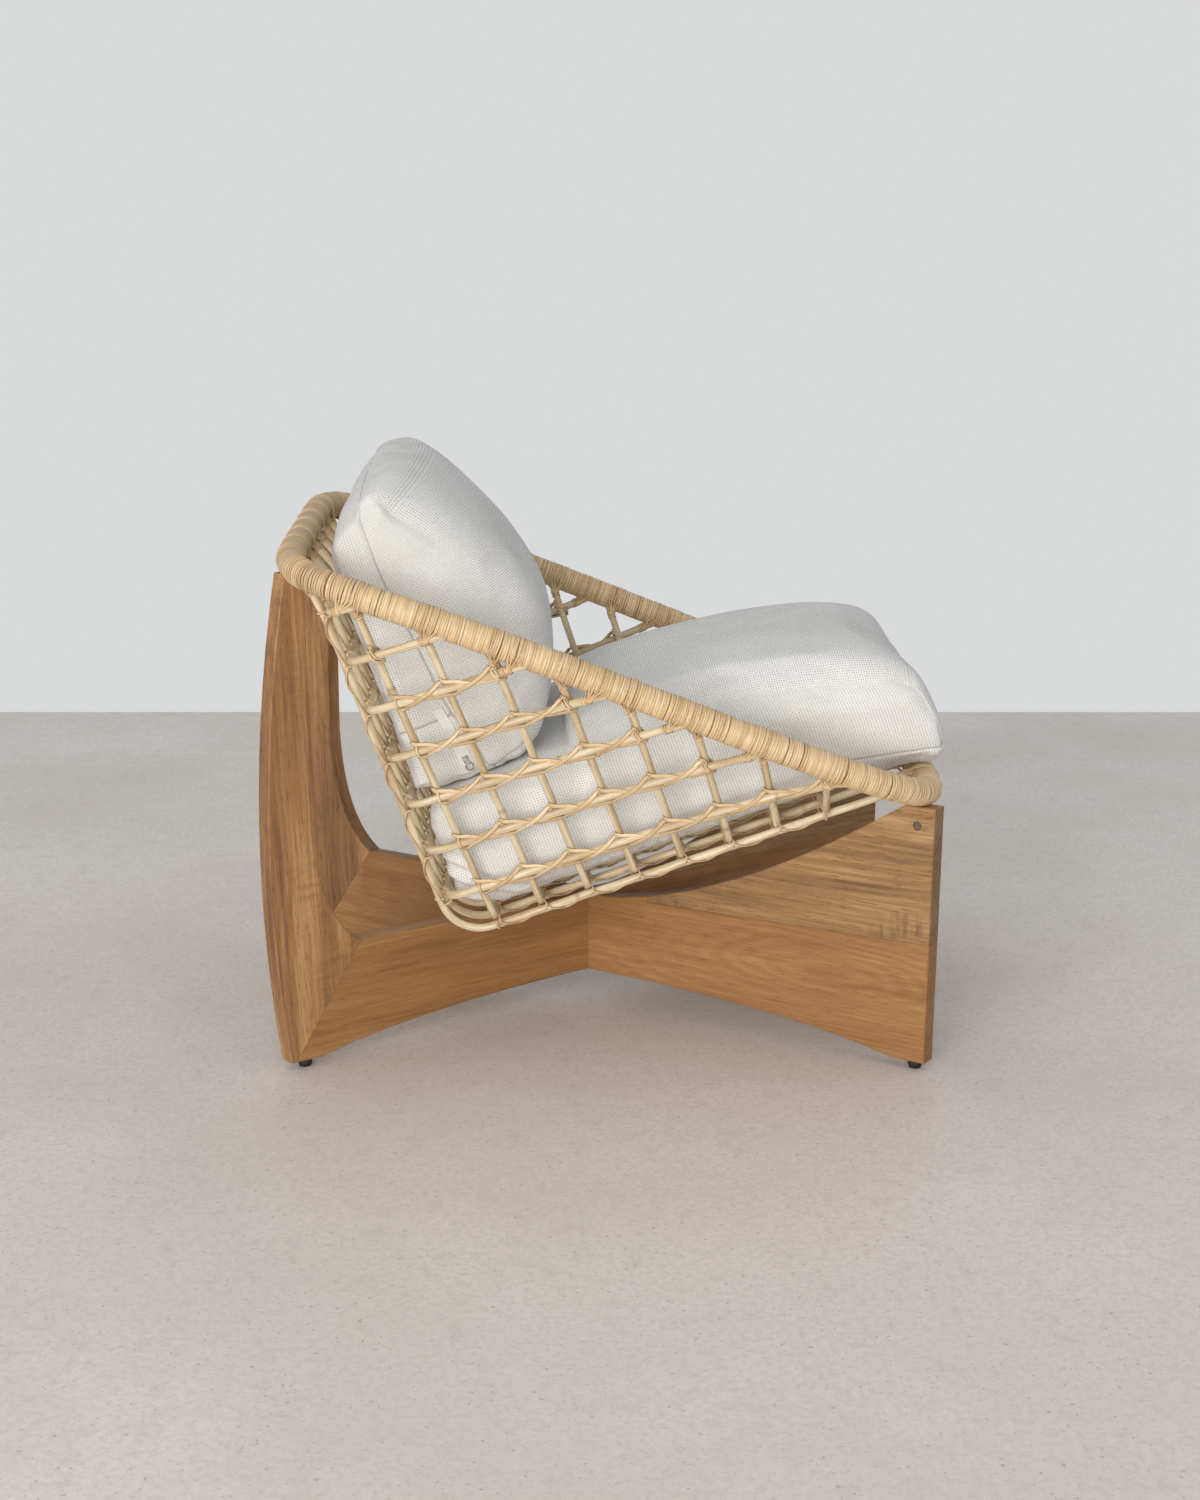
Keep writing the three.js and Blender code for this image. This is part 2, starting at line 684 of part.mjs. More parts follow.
// Seat cushion: flat on the floor canes, crowned ahead of the back cushion, nosed over the front rim
const seatProfileShares = [
  [0.024, 0], [0, 0.09], [0, 0.9], [0.03, 0.985], [0.14, 1], [0.42, 1], [0.66, 1], [0.8, 0.95],
  [0.91, 0.85], [0.982, 0.68], [1, 0.42], [0.992, 0.13], [0.955, 0], [0.5, 0],
];
const seatAnchorShare = 0.5;
const seatEndShares = [0.05, 0.2];
const seatCrownStartShare = 0.7;

function seatCushion() {
  const length = rimFrontAhead + seatOverhang - wallAhead;
  const profile = profilePoints(seatProfileShares, wallAhead, floorTop, length, seatThickness);
  const crownStart = wallAhead + backDepth * seatCrownStartShare;
  return skinOver(cushionRings(profile, seatAnchorShare, seatEndShares, (across, ahead, up) => {
    const level = THREE.MathUtils.clamp((up - floorTop) / seatThickness, 0, 1);
    const halfWidth = THREE.MathUtils.lerp(seatWidthLow, seatWidthHigh, level) / 2;
    const open = THREE.MathUtils.smoothstep(ahead, crownStart, crownStart + seatCrownRun);
    return inBasket(
      across * halfWidth,
      Math.max(ahead, wallAhead),
      THREE.MathUtils.clamp(up, floorTop, seatTop) + seatCrown * open * level * (1 - across ** 2),
    );
  }));
}

// Back cushion: stands on the seat cushion, bellied in front, drawn to a ridge at the top
const backProfileShares = [
  [0.04, 0.02], [0, 0.12], [0, 0.5], [0.02, 0.78], [0.15, 0.92], [0.33, 0.99], [0.46, 1], [0.6, 0.95],
  [0.78, 0.79], [0.92, 0.56], [0.99, 0.34], [0.95, 0.2], [0.8, 0.075], [0.6, 0.01], [0.3, 0],
];
const backAnchorShare = 0.18;
const backEndShares = [0.28, 0.18];

function backCushion() {
  const foot = seatTop + fitGap;
  const profile = profilePoints(backProfileShares, wallAhead, foot, backDepth, backHeight);
  return skinOver(cushionRings(profile, backAnchorShare, backEndShares, (across, ahead, up) => inBasket(
    (across * backWidth) / 2,
    Math.max(ahead, wallAhead),
    Math.max(up, foot),
  )));
}

addPiece('seat_cushion', seatCushion(), 'cloth');

// Slide fastener: a narrow tape let into the right-hand side, with its slider and ring on top
function onZip(box) {
  const placed = box.clone();
  placed.rotateX(-zipLean - basketTip);
  placed.translate(...inBasket(-backWidth / 2, wallAhead + zipSetback, seatTop + zipRise));
  return placed;
}

const zipTape = new THREE.BoxGeometry(zipTapeThickness, zipTapeWidth, zipLength);
zipTape.translate(zipTapeThickness / 2 - zipProud, 0, 0);
const zipPocket = new THREE.BoxGeometry(
  zipTapeThickness + fitGap + overrun, zipTapeWidth + 2 * fitGap, zipLength + 2 * fitGap,
);
zipPocket.translate(zipTapeThickness + fitGap - (zipTapeThickness + fitGap + overrun) / 2 - zipProud, 0, 0);

function zipSlider() {
  const body = new THREE.BoxGeometry(zipSliderThickness, zipSliderWidth, zipSliderLength);
  const bodyOut = -zipProud - fitGap - zipSliderThickness / 2;
  body.translate(bodyOut, 0, 0);
  const ring = new THREE.TorusGeometry(zipRingRadius, zipRingWire, 6, 16);
  ring.rotateY(Math.PI / 2);
  ring.translate(bodyOut, 0, -zipSliderLength / 2 - zipRingRadius + zipRingWire);
  return toGeometry(toSolid(body).add(toSolid(ring)));
}

const zipSliderRest = (zipLength - zipSliderLength) / 2;
addPiece('back_cushion', cutAway(backCushion(), onZip(zipPocket)), 'cloth');
addPiece('back_cushion_zip_tape', onZip(zipTape), 'zipTape');
addPiece('back_cushion_zip_slider', onZip(zipSlider().translate(0, 0, -zipSliderRest)), 'brightSteel');

// The chair stands centred on its own box
const box = new THREE.Box3().setFromObject(chair);
const middle = box.getCenter(new THREE.Vector3());
chair.position.set(-middle.x, -middle.y, -box.min.z);

export default chair;
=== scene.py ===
import math

import bpy
import numpy as np
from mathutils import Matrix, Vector


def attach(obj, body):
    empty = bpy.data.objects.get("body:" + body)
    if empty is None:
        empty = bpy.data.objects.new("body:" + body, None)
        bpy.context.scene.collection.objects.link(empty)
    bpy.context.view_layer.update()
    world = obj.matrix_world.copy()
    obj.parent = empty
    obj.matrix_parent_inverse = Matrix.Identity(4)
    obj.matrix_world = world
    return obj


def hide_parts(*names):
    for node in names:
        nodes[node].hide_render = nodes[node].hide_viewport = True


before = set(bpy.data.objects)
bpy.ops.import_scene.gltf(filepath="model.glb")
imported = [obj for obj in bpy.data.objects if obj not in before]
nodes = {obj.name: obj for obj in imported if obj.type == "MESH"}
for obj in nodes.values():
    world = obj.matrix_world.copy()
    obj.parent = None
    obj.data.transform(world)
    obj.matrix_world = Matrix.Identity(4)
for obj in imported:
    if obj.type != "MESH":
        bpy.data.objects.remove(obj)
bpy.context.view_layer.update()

# A low lounge chair: a cane basket with a wrapped rim, hung in two crossing wooden panels, with two
# loose cushions. Sizes are in millimetres until a mesh is made; +X is the sitter's left, -Y the front.
MM = 0.001
# how far back the chair stands from its drawing's zero, so that its solids are centred
CHAIR_SHIFT = 14.4356

# Camera, as the photograph was taken: square to the chair's right side, looking a little down
CAMERA_AT = (-3.1948, 0.0941, 1.0669)
CAMERA_DIP = math.radians(12.936)
CAMERA_TURN = math.radians(1.716)
CAMERA_LENS = 61.36
CAMERA_FILM = 36.0

scene = bpy.context.scene
camera_data = bpy.data.cameras.new("camera")
camera_data.lens = CAMERA_LENS
camera_data.sensor_width = CAMERA_FILM
camera = bpy.data.objects.new("camera", camera_data)
scene.collection.objects.link(camera)
camera.location = CAMERA_AT
looking = Vector((
    math.cos(CAMERA_DIP) * math.cos(CAMERA_TURN),
    -math.cos(CAMERA_DIP) * math.sin(CAMERA_TURN),
    -math.sin(CAMERA_DIP),
))
camera.rotation_euler = looking.to_track_quat("-Z", "Y").to_euler()
scene.camera = camera

# The basket's own directions and the shape of its rim, as the cane worker sets them out
BASKET_TIP = math.radians(19.3)
BASKET_REAR = 168.0
BASKET_RISE = 143.0
CANE_RADIUS = 5.0
HOOP_RADIUS = 4.5
FIT = 0.3
RIM_RADIUS = 17.0
RIM_HALF_WIDTH = 333.0
RIM_FLARE = 10.7
RIM_ARCH = 5.0
RIM_SWAY = 12.0
RIM_BACK = (-18.5, 509.0)
RIM_FRONT = (606.0, -6.3)
RIM_SQUARENESS = 7.7
RIM_HALF_DEPTH = math.hypot(RIM_FRONT[0] - RIM_BACK[0], RIM_BACK[1] - RIM_FRONT[1]) / 2
RIM_REACHES = (RIM_HALF_DEPTH, -RIM_HALF_DEPTH)
LONG_CANES = 9
ROWS = 7
ROW_SPACING = 64.0
FIRST_ROW_UP = 62.0
HOOPS = 8
HOOP_FEET = (59.0, 475.0)
HOOP_HEADS = (44.0, 493.0)
FLOOR_HALF_WIDTHS = (215.0, 240.0)
BACK_HALF_WIDTH = 300.0
CORNER_BEND = 47.0
HOOP_BEND = 14.0
ROW_BEND = 25.0
TOP_BEND = 120.0
TOP_BEND_DROP = 66.0
HOOP_LEVEL = 2 * CANE_RADIUS + FIT + HOOP_RADIUS
ROW_OFFSET = HOOP_RADIUS + CANE_RADIUS + FIT
ROW_AHEAD = 3 * CANE_RADIUS + FIT


def in_basket(places):
    """Places across, ahead and up in the tipped basket, in mm, as points of the chair in metres."""
    across, ahead, up = np.moveaxis(np.asarray(places, float), -1, 0)
    y = BASKET_REAR - math.cos(BASKET_TIP) * ahead + math.sin(BASKET_TIP) * up + CHAIR_SHIFT
    z = BASKET_RISE + math.sin(BASKET_TIP) * ahead + math.cos(BASKET_TIP) * up
    return np.stack([across, y, z], -1) * MM


def basket_way(way):
    """A direction given across, ahead and up, as a direction of the chair."""
    across, ahead, up = way
    return np.array([across, math.sin(BASKET_TIP) * up - math.cos(BASKET_TIP) * ahead,
                     math.sin(BASKET_TIP) * ahead + math.cos(BASKET_TIP) * up])


ACROSS_WAY = basket_way((1.0, 0, 0))
AHEAD_WAY = basket_way((0, 1.0, 0))
UP_WAY = basket_way((0, 0, 1.0))


def rim_share(reach):
    return (reach + RIM_HALF_DEPTH) / (2 * RIM_HALF_DEPTH)


def rim_ahead(reach):
    """Straight from the front bar's place ahead to the back bar's."""
    return RIM_FRONT[0] + (RIM_BACK[0] - RIM_FRONT[0]) * rim_share(reach)


def rim_up(reach):
    """The same straight for its height, plus an arch and a sway that vanish at both ends."""
    share = reach / RIM_HALF_DEPTH
    straight = RIM_FRONT[1] + (RIM_BACK[1] - RIM_FRONT[1]) * rim_share(reach)
    return straight + (1 - share ** 2) * (RIM_ARCH + RIM_SWAY * share)


def rim_reach_at_ahead(ahead):
    return np.interp(ahead, [RIM_BACK[0], RIM_FRONT[0]], RIM_REACHES)


def rim_width_at(reach):
    """Half the width of a superellipse that widens evenly towards the back."""
    share = np.minimum(1, np.abs(reach) / RIM_HALF_DEPTH)
    full = RIM_HALF_WIDTH + RIM_FLARE * reach / RIM_HALF_DEPTH
    return full * (1 - share ** RIM_SQUARENESS) ** (1 / RIM_SQUARENESS)


def rim_reach_across(across, end):
    """The reach of the back bar (end 1) or the front bar (end -1) at a distance from the middle."""
    share = np.minimum(1, np.abs(across) / (RIM_HALF_WIDTH + end * RIM_FLARE))
    return end * RIM_HALF_DEPTH * (1 - share ** RIM_SQUARENESS) ** (1 / RIM_SQUARENESS)


def rim_point(turn):
    """The superellipse at a turn: cosine and sine raised to 2 / squareness, sign kept."""
    power = 2 / RIM_SQUARENESS
    reach = RIM_HALF_DEPTH * np.sign(np.sin(turn)) * np.abs(np.sin(turn)) ** power
    full = RIM_HALF_WIDTH + RIM_FLARE * reach / RIM_HALF_DEPTH
    across = full * np.sign(np.cos(turn)) * np.abs(np.cos(turn)) ** power
    return in_basket(np.stack([across, rim_ahead(reach), rim_up(reach)], -1))


# Lines and surfaces
FULL_TURN = 2 * math.pi


def unit(v):
    return v / np.maximum(np.linalg.norm(v, axis=-1, keepdims=True), 1e-12)


def lengths(line):
    """The distance along a line at each of its points, in its own unit."""
    return np.concatenate([[0], np.cumsum(np.linalg.norm(np.diff(line, axis=0), axis=1))])


def along(line, distance):
    """Points at given distances along a line, straight between its stations."""
    total = lengths(line)
    return np.stack([np.interp(distance, total, line[:, k]) for k in range(line.shape[1])], -1)


def evenly(line, step):
    """The line again, with stations about one step apart."""
    total = lengths(line)[-1]
    return along(line, np.linspace(0, total, max(2, int(round(total / step)) + 1)))


def smoothly(points, per_span, closed=False):
    """A Catmull-Rom line through the points: each span is the cubic that leaves and arrives
    parallel to the line between the neighbours."""
    p = np.asarray(points, float)
    if closed:
        p = np.concatenate([p[-1:], p, p[:2]])
    else:
        p = np.concatenate([2 * p[:1] - p[1:2], p, 2 * p[-1:] - p[-2:-1]])
    t = (np.arange(per_span) / per_span)[None, :, None]
    a, b, c, d = (p[k:len(p) - 3 + k][:, None, :] for k in range(4))
    spans = 0.5 * (2 * b + (c - a) * t + (2 * a - 5 * b + 4 * c - d) * t ** 2
                   + (3 * b - a - 3 * c + d) * t ** 3)
    line = spans.reshape(-1, p.shape[1])
    return line if closed else np.concatenate([line, p[-2:-1]])


def bent_line(corners, radii, arc_steps=16):
    """Straights between corners, each inner corner rounded by an arc of its radius: from the arc's
    start the line goes on against the way back, and bends by the angle between the two straights."""
    corners = [np.asarray(c, float) for c in corners]
    stations = [corners[0][None]]
    for before, corner, after, radius in zip(corners, corners[1:], corners[2:], radii):
        if radius == 0:
            stations.append(corner[None])
            continue
        back, on = unit(before - corner), unit(after - corner)
        turn = math.pi - math.acos(np.clip(back @ on, -1, 1))
        start = corner + back * radius * math.tan(turn / 2)
        centre = corner + unit(back + on) * radius / math.cos(turn / 2)
        angle = np.linspace(0, turn, arc_steps)[:, None]
        stations.append(centre + np.cos(angle) * (start - centre) - np.sin(angle) * back * radius)
    stations.append(corners[-1][None])
    return np.concatenate(stations)


class Surface:
    """Closed sheets of four-sided faces that become one mesh, with their UVs in metres and one
    number per point, "mark"."""

    def __init__(self):
        self.points, self.quads, self.tris, self.uvs, self.marks = [], [], [], [], []
        self.count = 0

    def add_points(self, points, uv, mark):
        first = self.count
        self.points.append(points)
        self.uvs.append(uv)
        self.marks.append(mark)
        self.count += len(points)
        return first

    def sheet(self, grid, u, v, mark=0.0, closed=False):
        """A grid of rings. Each ring is closed; the row of rings is closed too if asked, and
        otherwise each end gets a fan of faces to its middle. u runs along, v around, in metres."""
        n, m = grid.shape[:2]
        uv = np.stack(np.broadcast_arrays(u[:, None], v[None, :]), -1).reshape(-1, 2)
        marks = np.broadcast_to(mark, (n, m)).ravel()
        first = self.add_points(grid.reshape(-1, 3), uv, marks) + np.arange(n * m).reshape(n, m)
        rings = np.concatenate([first, first[:1]]) if closed else first
        over = np.roll(rings, -1, axis=1)
        self.quads.append(np.stack([rings[:-1], over[:-1], over[1:], rings[1:]], -1).reshape(-1, 4))
        if closed:
            return
        for end, order in ((0, 1), (-1, -1)):
            hub = self.add_points(grid[end].mean(0)[None], uv[end][None], marks[end:][:1])
            ring = first[end]
            fan = np.stack([np.full(m, hub), np.roll(ring, -1), ring], -1)
            self.tris.append(fan[:, ::order])

    def make(self, name, material):
        """One mesh object at the origin, its faces turned outwards, with UVMap and "mark"."""
        points = np.concatenate(self.points)
        quads = np.concatenate(self.quads)
        tris = np.concatenate(self.tris) if self.tris else np.zeros((0, 3), int)
        corners = points[np.concatenate([quads[:, [0, 1, 2]], quads[:, [0, 2, 3]], tris])]
        volume = np.einsum("ij,ij->i", corners[:, 0], np.cross(corners[:, 1], corners[:, 2])).sum()
        if volume < 0:
            quads, tris = quads[:, ::-1], tris[:, ::-1]
        return mesh_object(name, material, points, quads, tris,
                           np.concatenate(self.uvs), {"mark": np.concatenate(self.marks)})


def mesh_object(name, material, points, quads, tris, uvs, numbers):
    """A smooth mesh object from arrays; uvs are per point or per face corner, numbers are named
    values per point."""
    loops = np.concatenate([quads.ravel(), tris.ravel()]).astype(np.int32)
    starts = np.concatenate([np.arange(len(quads)) * 4, len(quads) * 4 + np.arange(len(tris)) * 3])
    mesh = bpy.data.meshes.new(name)
    mesh.vertices.add(len(points))
    mesh.vertices.foreach_set("co", points.astype(np.float32).ravel())
    mesh.loops.add(len(loops))
    mesh.loops.foreach_set("vertex_index", loops)
    mesh.polygons.add(len(starts))
    mesh.polygons.foreach_set("loop_start", starts.astype(np.int32))
    mesh.polygons.foreach_set("use_smooth", np.ones(len(starts), bool))
    uv = mesh.uv_layers.new(name="UVMap")
    corner_uvs = uvs if len(uvs) == len(loops) else uvs[loops]
    uv.data.foreach_set("uv", corner_uvs.astype(np.float32).ravel())
    for key, values in numbers.items():
        mesh.attributes.new(key, "FLOAT", "POINT").data.foreach_set("value", values.astype(np.float32))
    mesh.update(calc_edges=True)
    mesh.validate()
    thing = bpy.data.objects.new(name, mesh)
    scene.collection.objects.link(thing)
    mesh.materials.append(material)
    return thing


def way_on(line, closed=False):
    """The direction of a line at each of its stations."""
    if closed:
        return unit(np.roll(line, -1, 0) - np.roll(line, 1, 0))
    return unit(np.gradient(line, axis=0))


def square_to(on, guide):
    """A side square to the way on and the guide, and a lift square to both."""
    side = unit(np.cross(np.broadcast_to(guide, on.shape), on))
    return side, np.cross(on, side)


def ramp(value, start, run):
    """0 up to a start, then evenly up to 1 over a run, and 1 from there."""
    return np.clip((value - start) / run, 0, 1)


def bell(value, reach):
    """1 at zero, falling off smoothly on both sides: e to the minus square of value / reach."""
    return np.exp(-(value / reach) ** 2)


def rings_about(line, side, lift, radius, sides):
    """Rings about a line: point + radius * (cos a * side + sin a * lift), a going round once."""
    angle = FULL_TURN * np.arange(sides) / sides
    size = np.broadcast_to(radius, (len(line),))[:, None, None]
    ring = np.cos(angle)[None, :, None] * side[:, None] + np.sin(angle)[None, :, None] * lift[:, None]
    return line[:, None] + size * ring, angle * float(np.mean(radius))


# The sections of a split of cane and of two splits side by side: shares of width and thickness
SPLIT_SHARES = np.array([[-0.5, -0.4], [-0.22, 0.4], [0.22, 0.4], [0.5, -0.4]])
PAIR_SHARES = np.array([[-0.5, -0.4], [-0.27, 0.45], [0.0, 0.0], [0.27, 0.45], [0.5, -0.4]])
# metres of skin that a split shows across, and the step that gives each split its own stretch of it
SPLIT_SKIN = 0.004
SKIN_STEP = 0.0137


def flat_split(surface, line, normal, width, thickness, mark=0.0, closed=False, shares=SPLIT_SHARES):
    """A split of cane laid along a line in metres: its section is a low crown, width across the
    line and thickness along the normal, both in mm."""
    on = way_on(line, closed)
    flat = unit(np.cross(normal, on))
    top = np.cross(on, flat)
    grid = (line[:, None] + width * MM * shares[None, :, :1] * flat[:, None]
            + thickness * MM * shares[None, :, 1:] * top[:, None])
    skin_at = lengths(line) + surface.count * SKIN_STEP
    surface.sheet(grid, skin_at, shares[:, 0] * SPLIT_SKIN, mark, closed)


# Materials
def new_material(name):
    material = bpy.data.materials.new(name)
    material.use_nodes = True
    material.node_tree.nodes.clear()
    return material


class Nodes:
    """Short ways to add and join nodes in one tree."""

    def __init__(self, tree):
        self.tree = tree

    def add(self, kind, inputs=None, **settings):
        node = self.tree.nodes.new(kind)
        for key, value in settings.items():
            setattr(node, key, value)
        for key, value in (inputs or {}).items():
            self.set(node, key, value)
        return node

    def set(self, node, key, value):
        """Joins another node's output to an input, or gives the input a plain value."""
        socket = node.inputs[key]
        if isinstance(value, bpy.types.NodeSocket):
            self.tree.links.new(value, socket)
        elif hasattr(socket.default_value, "__len__") and hasattr(value, "__len__"):
            full = list(value)
            if len(full) == 3 and len(socket.default_value) == 4:
                full.append(1.0)
            socket.default_value = full
        else:
            socket.default_value = value

    def math(self, operation, a, b=0.0):
        return self.add("ShaderNodeMath", {0: a, 1: b}, operation=operation).outputs[0]

    def times(self, a, b):
        return self.math("MULTIPLY", a, b)

    def part(self, vector, k):
        """The first, second or third part of a vector, as k is 0, 1 or 2."""
        return self.add("ShaderNodeSeparateXYZ", {0: vector}).outputs[k]

    def total(self, *parts):
        result = parts[0]
        for part in parts[1:]:
            result = self.math("ADD", result, part)
        return result

    def mix(self, share, a, b):
        node = self.add("ShaderNodeMix", data_type="RGBA")
        self.set(node, 0, share)
        self.set(node, 6, a)
        self.set(node, 7, b)
        return node.outputs[2]

    def span(self, value, low, high, to_low=0.0, to_high=1.0):
        node = self.add("ShaderNodeMapRange", {0: value, 1: low, 2: high, 3: to_low, 4: to_high},
                        interpolation_type="SMOOTHSTEP")
        return node.outputs[0]

    def noise(self, vector, scale=1.0, detail=3.0, rough=0.55, distortion=0.0):
        node = self.add("ShaderNodeTexNoise",
                        {"Vector": vector, "Scale": scale, "Detail": detail, "Roughness": rough,
                         "Distortion": distortion})
        return node.outputs["Fac"]

    def mapped(self, vector, scale=(1, 1, 1), turn=(0, 0, 0), move=(0, 0, 0)):
        node = self.add("ShaderNodeMapping",
                        {"Vector": vector, "Location": move, "Rotation": turn, "Scale": scale})
        return node.outputs[0]

    def streak(self, place, scale, detail=3.0, rough=0.55, move=(0, 0, 0), distortion=0.0):
        """Noise that has its own scale each way."""
        return self.noise(self.mapped(place, scale, move=move), 1.0, detail, rough, distortion)

    def over(self, colour, other, value, low, high, share):
        """A colour with another laid over it, up to a share, as a value goes from low to high."""
        return self.mix(self.times(self.span(value, low, high), share), colour, other)


def rgb(code):
    """A hexadecimal screen colour as linear light: ((c + 0.055) / 1.055) ** 2.4 above the toe."""
    parts = [int(code[i:i + 2], 16) / 255 for i in (0, 2, 4)]
    return [c / 12.92 if c <= 0.04045 else ((c + 0.055) / 1.055) ** 2.4 for c in parts] + [1.0]


def group(name, inputs, outputs):
    """A shader node group with named sockets, and the node helper for what is in it."""
    tree = bpy.data.node_groups.new(name, "ShaderNodeTree")
    kinds = {"value": "NodeSocketFloat", "colour": "NodeSocketColor", "vector": "NodeSocketVector"}
    for socket, kind in inputs:
        tree.interface.new_socket(name=socket, in_out="INPUT", socket_type=kinds[kind])
    for socket, kind in outputs:
        tree.interface.new_socket(name=socket, in_out="OUTPUT", socket_type=kinds[kind])
    n = Nodes(tree)
    return n, n.add("NodeGroupInput").outputs, n.add("NodeGroupOutput")


def use(n, name, inputs):
    node = n.add("ShaderNodeGroup", node_tree=bpy.data.node_groups[name])
    for key, value in inputs.items():
        n.set(node, key, value)
    return node.outputs


def wood_group():
    """Hardwood with its grain along the first direction: broad bands of tone and fine fibre lines
    are noise stretched along it, growth lines are a sine of the distance from a wandering heart,
    pores are short dark dashes, and a ripple crosses the grain where the figure is strong."""
    n, given, out = group(
        "wood_grain",
        [("Place", "vector"), ("Heart", "vector"), ("Lines", "value"), ("Figure", "value"),
         ("Dark", "colour"), ("Middle", "colour"), ("Light", "colour")],
        [("Colour", "colour"), ("Height", "value"), ("Rough", "value")])
    place = given["Place"]
    wander = n.streak(place, (2.2, 9, 9), 2.0)
    heart = n.add("ShaderNodeVectorMath", {0: place, 1: given["Heart"]}, operation="SUBTRACT").outputs[0]
    away = n.add("ShaderNodeVectorMath", {0: n.mapped(heart, (0.22, 1, 1))}, operation="LENGTH")
    growth = n.total(n.times(away.outputs["Value"], 620.0), n.times(wander, 46.0))
    growth = n.math("SINE", growth)
    patch = n.span(n.streak(place, (3, 8, 8), 1.0, move=(7, 2, 1)), 0.42, 0.62)
    lines = n.times(n.times(growth, given["Lines"]), patch)
    broad = n.streak(place, (2.6, 26, 26), 4.0, 0.62, (3.1, 0.4, 0.2), distortion=0.25)
    fibre = n.streak(place, (9, 360, 360), 4.0, rough=0.7)
    fleck = n.streak(place, (55, 560, 560), 2.0, move=(2, 5, 3), rough=0.6)
    pore = n.span(fleck, 0.57, 0.68)
    where = n.span(n.streak(place, (5, 16, 16), 2.0, move=(1, 9, 4)), 0.5, 0.68)
    ripple = n.span(n.streak(place, (150, 22, 22), 2.0, move=(0, 3, 8)), 0.42, 0.68)
    ripple = n.times(n.times(ripple, where), given["Figure"])
    tone = n.total(n.times(broad, 1.1), n.times(fibre, 0.75), lines, -0.45)
    colour = n.mix(n.span(tone, 0.15, 0.5), given["Light"], given["Middle"])
    colour = n.mix(n.span(tone, 0.42, 0.85), colour, given["Dark"])
    colour = n.mix(n.times(pore, 0.6), colour, given["Dark"])
    colour = n.mix(n.times(ripple, 0.8), colour, given["Dark"])
    n.set(out, "Colour", colour)
    n.set(out, "Height", n.total(n.times(fibre, 0.6), n.times(pore, -0.8)))
    n.set(out, "Rough", n.span(tone, 0.2, 0.9, 0.46, 0.62))


def cane_group():
    """Cane: fine lines run along it (stretched noise in UV), slow changes of tone, and marks."""
    n, given, out = group("cane_skin",
                          [("Place", "vector"), ("Light", "colour"), ("Dark", "colour"),
                           ("Stain", "colour"), ("Mark", "value")],
                          [("Colour", "colour"), ("Height", "value"), ("Rough", "value")])
    place = given["Place"]
    lines = n.streak(place, (18, 900, 1), 3.0, rough=0.6)
    slow = n.streak(place, (9, 60, 1), 3.0, move=(5, 2, 0), rough=0.6)
    spots = n.streak(place, (160, 420, 1), 2.0, move=(1, 7, 0), rough=0.5)
    colour = n.mix(n.span(slow, 0.36, 0.66), given["Light"], given["Dark"])
    colour = n.over(colour, given["Dark"], lines, 0.48, 0.7, 0.6)
    colour = n.over(colour, given["Stain"], spots, 0.6, 0.74, 0.45)
    colour = n.mix(given["Mark"], colour, given["Stain"])
    n.set(out, "Colour", colour)
    n.set(out, "Height", n.total(lines, n.times(spots, 0.4)))
    n.set(out, "Rough", n.span(slow, 0.3, 0.7, 0.36, 0.58))


def weave_group():
    """Open basket weave: threads cross on a grid that is a little longer one way. A dark dot shows
    where four threads meet, and the height is the mean of two sines, one for each set of threads."""
    n, given, out = group("open_weave", [("Place", "vector"), ("Pitch", "value")],
                          [("Dot", "value"), ("Height", "value"), ("Slub", "value")])
    place = given["Place"]
    wander = n.streak(place, (40, 40, 40), 2.0)
    sway = n.times(n.math("SUBTRACT", wander, 0.5), 0.7)
    across = n.total(n.math("DIVIDE", n.part(place, 0), n.times(given["Pitch"], 1.25)), sway)
    upward = n.total(n.math("DIVIDE", n.part(place, 1), given["Pitch"]), sway)
    waves = [n.math("ABSOLUTE", n.math("SINE", n.times(way, math.pi))) for way in (across, upward)]
    gap = n.times(n.span(waves[0], 0.82, 0.4), n.span(waves[1], 0.72, 0.3))
    uneven = n.span(n.streak(place, (420, 420, 420), 1.0), 0.3, 0.6, 0.35, 1.0)
    n.set(out, "Dot", n.times(gap, uneven))
    n.set(out, "Height", n.total(n.times(waves[0], 0.5), n.times(waves[1], 0.5)))
    n.set(out, "Slub", n.streak(place, (30, 700, 30), 3.0))


def principled(n, colour, rough, height=None, strength=0.3, distance=0.0005, **sockets):
    """A Principled surface with its bump, wired to the material's output."""
    shader = n.add("ShaderNodeBsdfPrincipled")
    n.set(shader, "Base Color", colour)
    n.set(shader, "Roughness", rough)
    if height is not None:
        bump = n.add("ShaderNodeBump", {"Height": height, "Strength": strength, "Distance": distance})
        n.set(shader, "Normal", bump.outputs[0])
    for key, value in sockets.items():
        n.set(shader, key.replace("_", " "), value)
    out = n.add("ShaderNodeOutputMaterial")
    n.tree.links.new(shader.outputs[0], out.inputs[0])
    return shader


wood_group()
cane_group()
weave_group()

# The way each panel runs in plan, how far a post's grain leans, and metres from thread to thread
PANEL_TURN = math.radians(54.67)
PANEL_TURNS = {"right": math.pi - PANEL_TURN, "left": PANEL_TURN}
POST_GRAIN_LEAN = math.radians(4)
WEAVE_PITCH = 0.0028


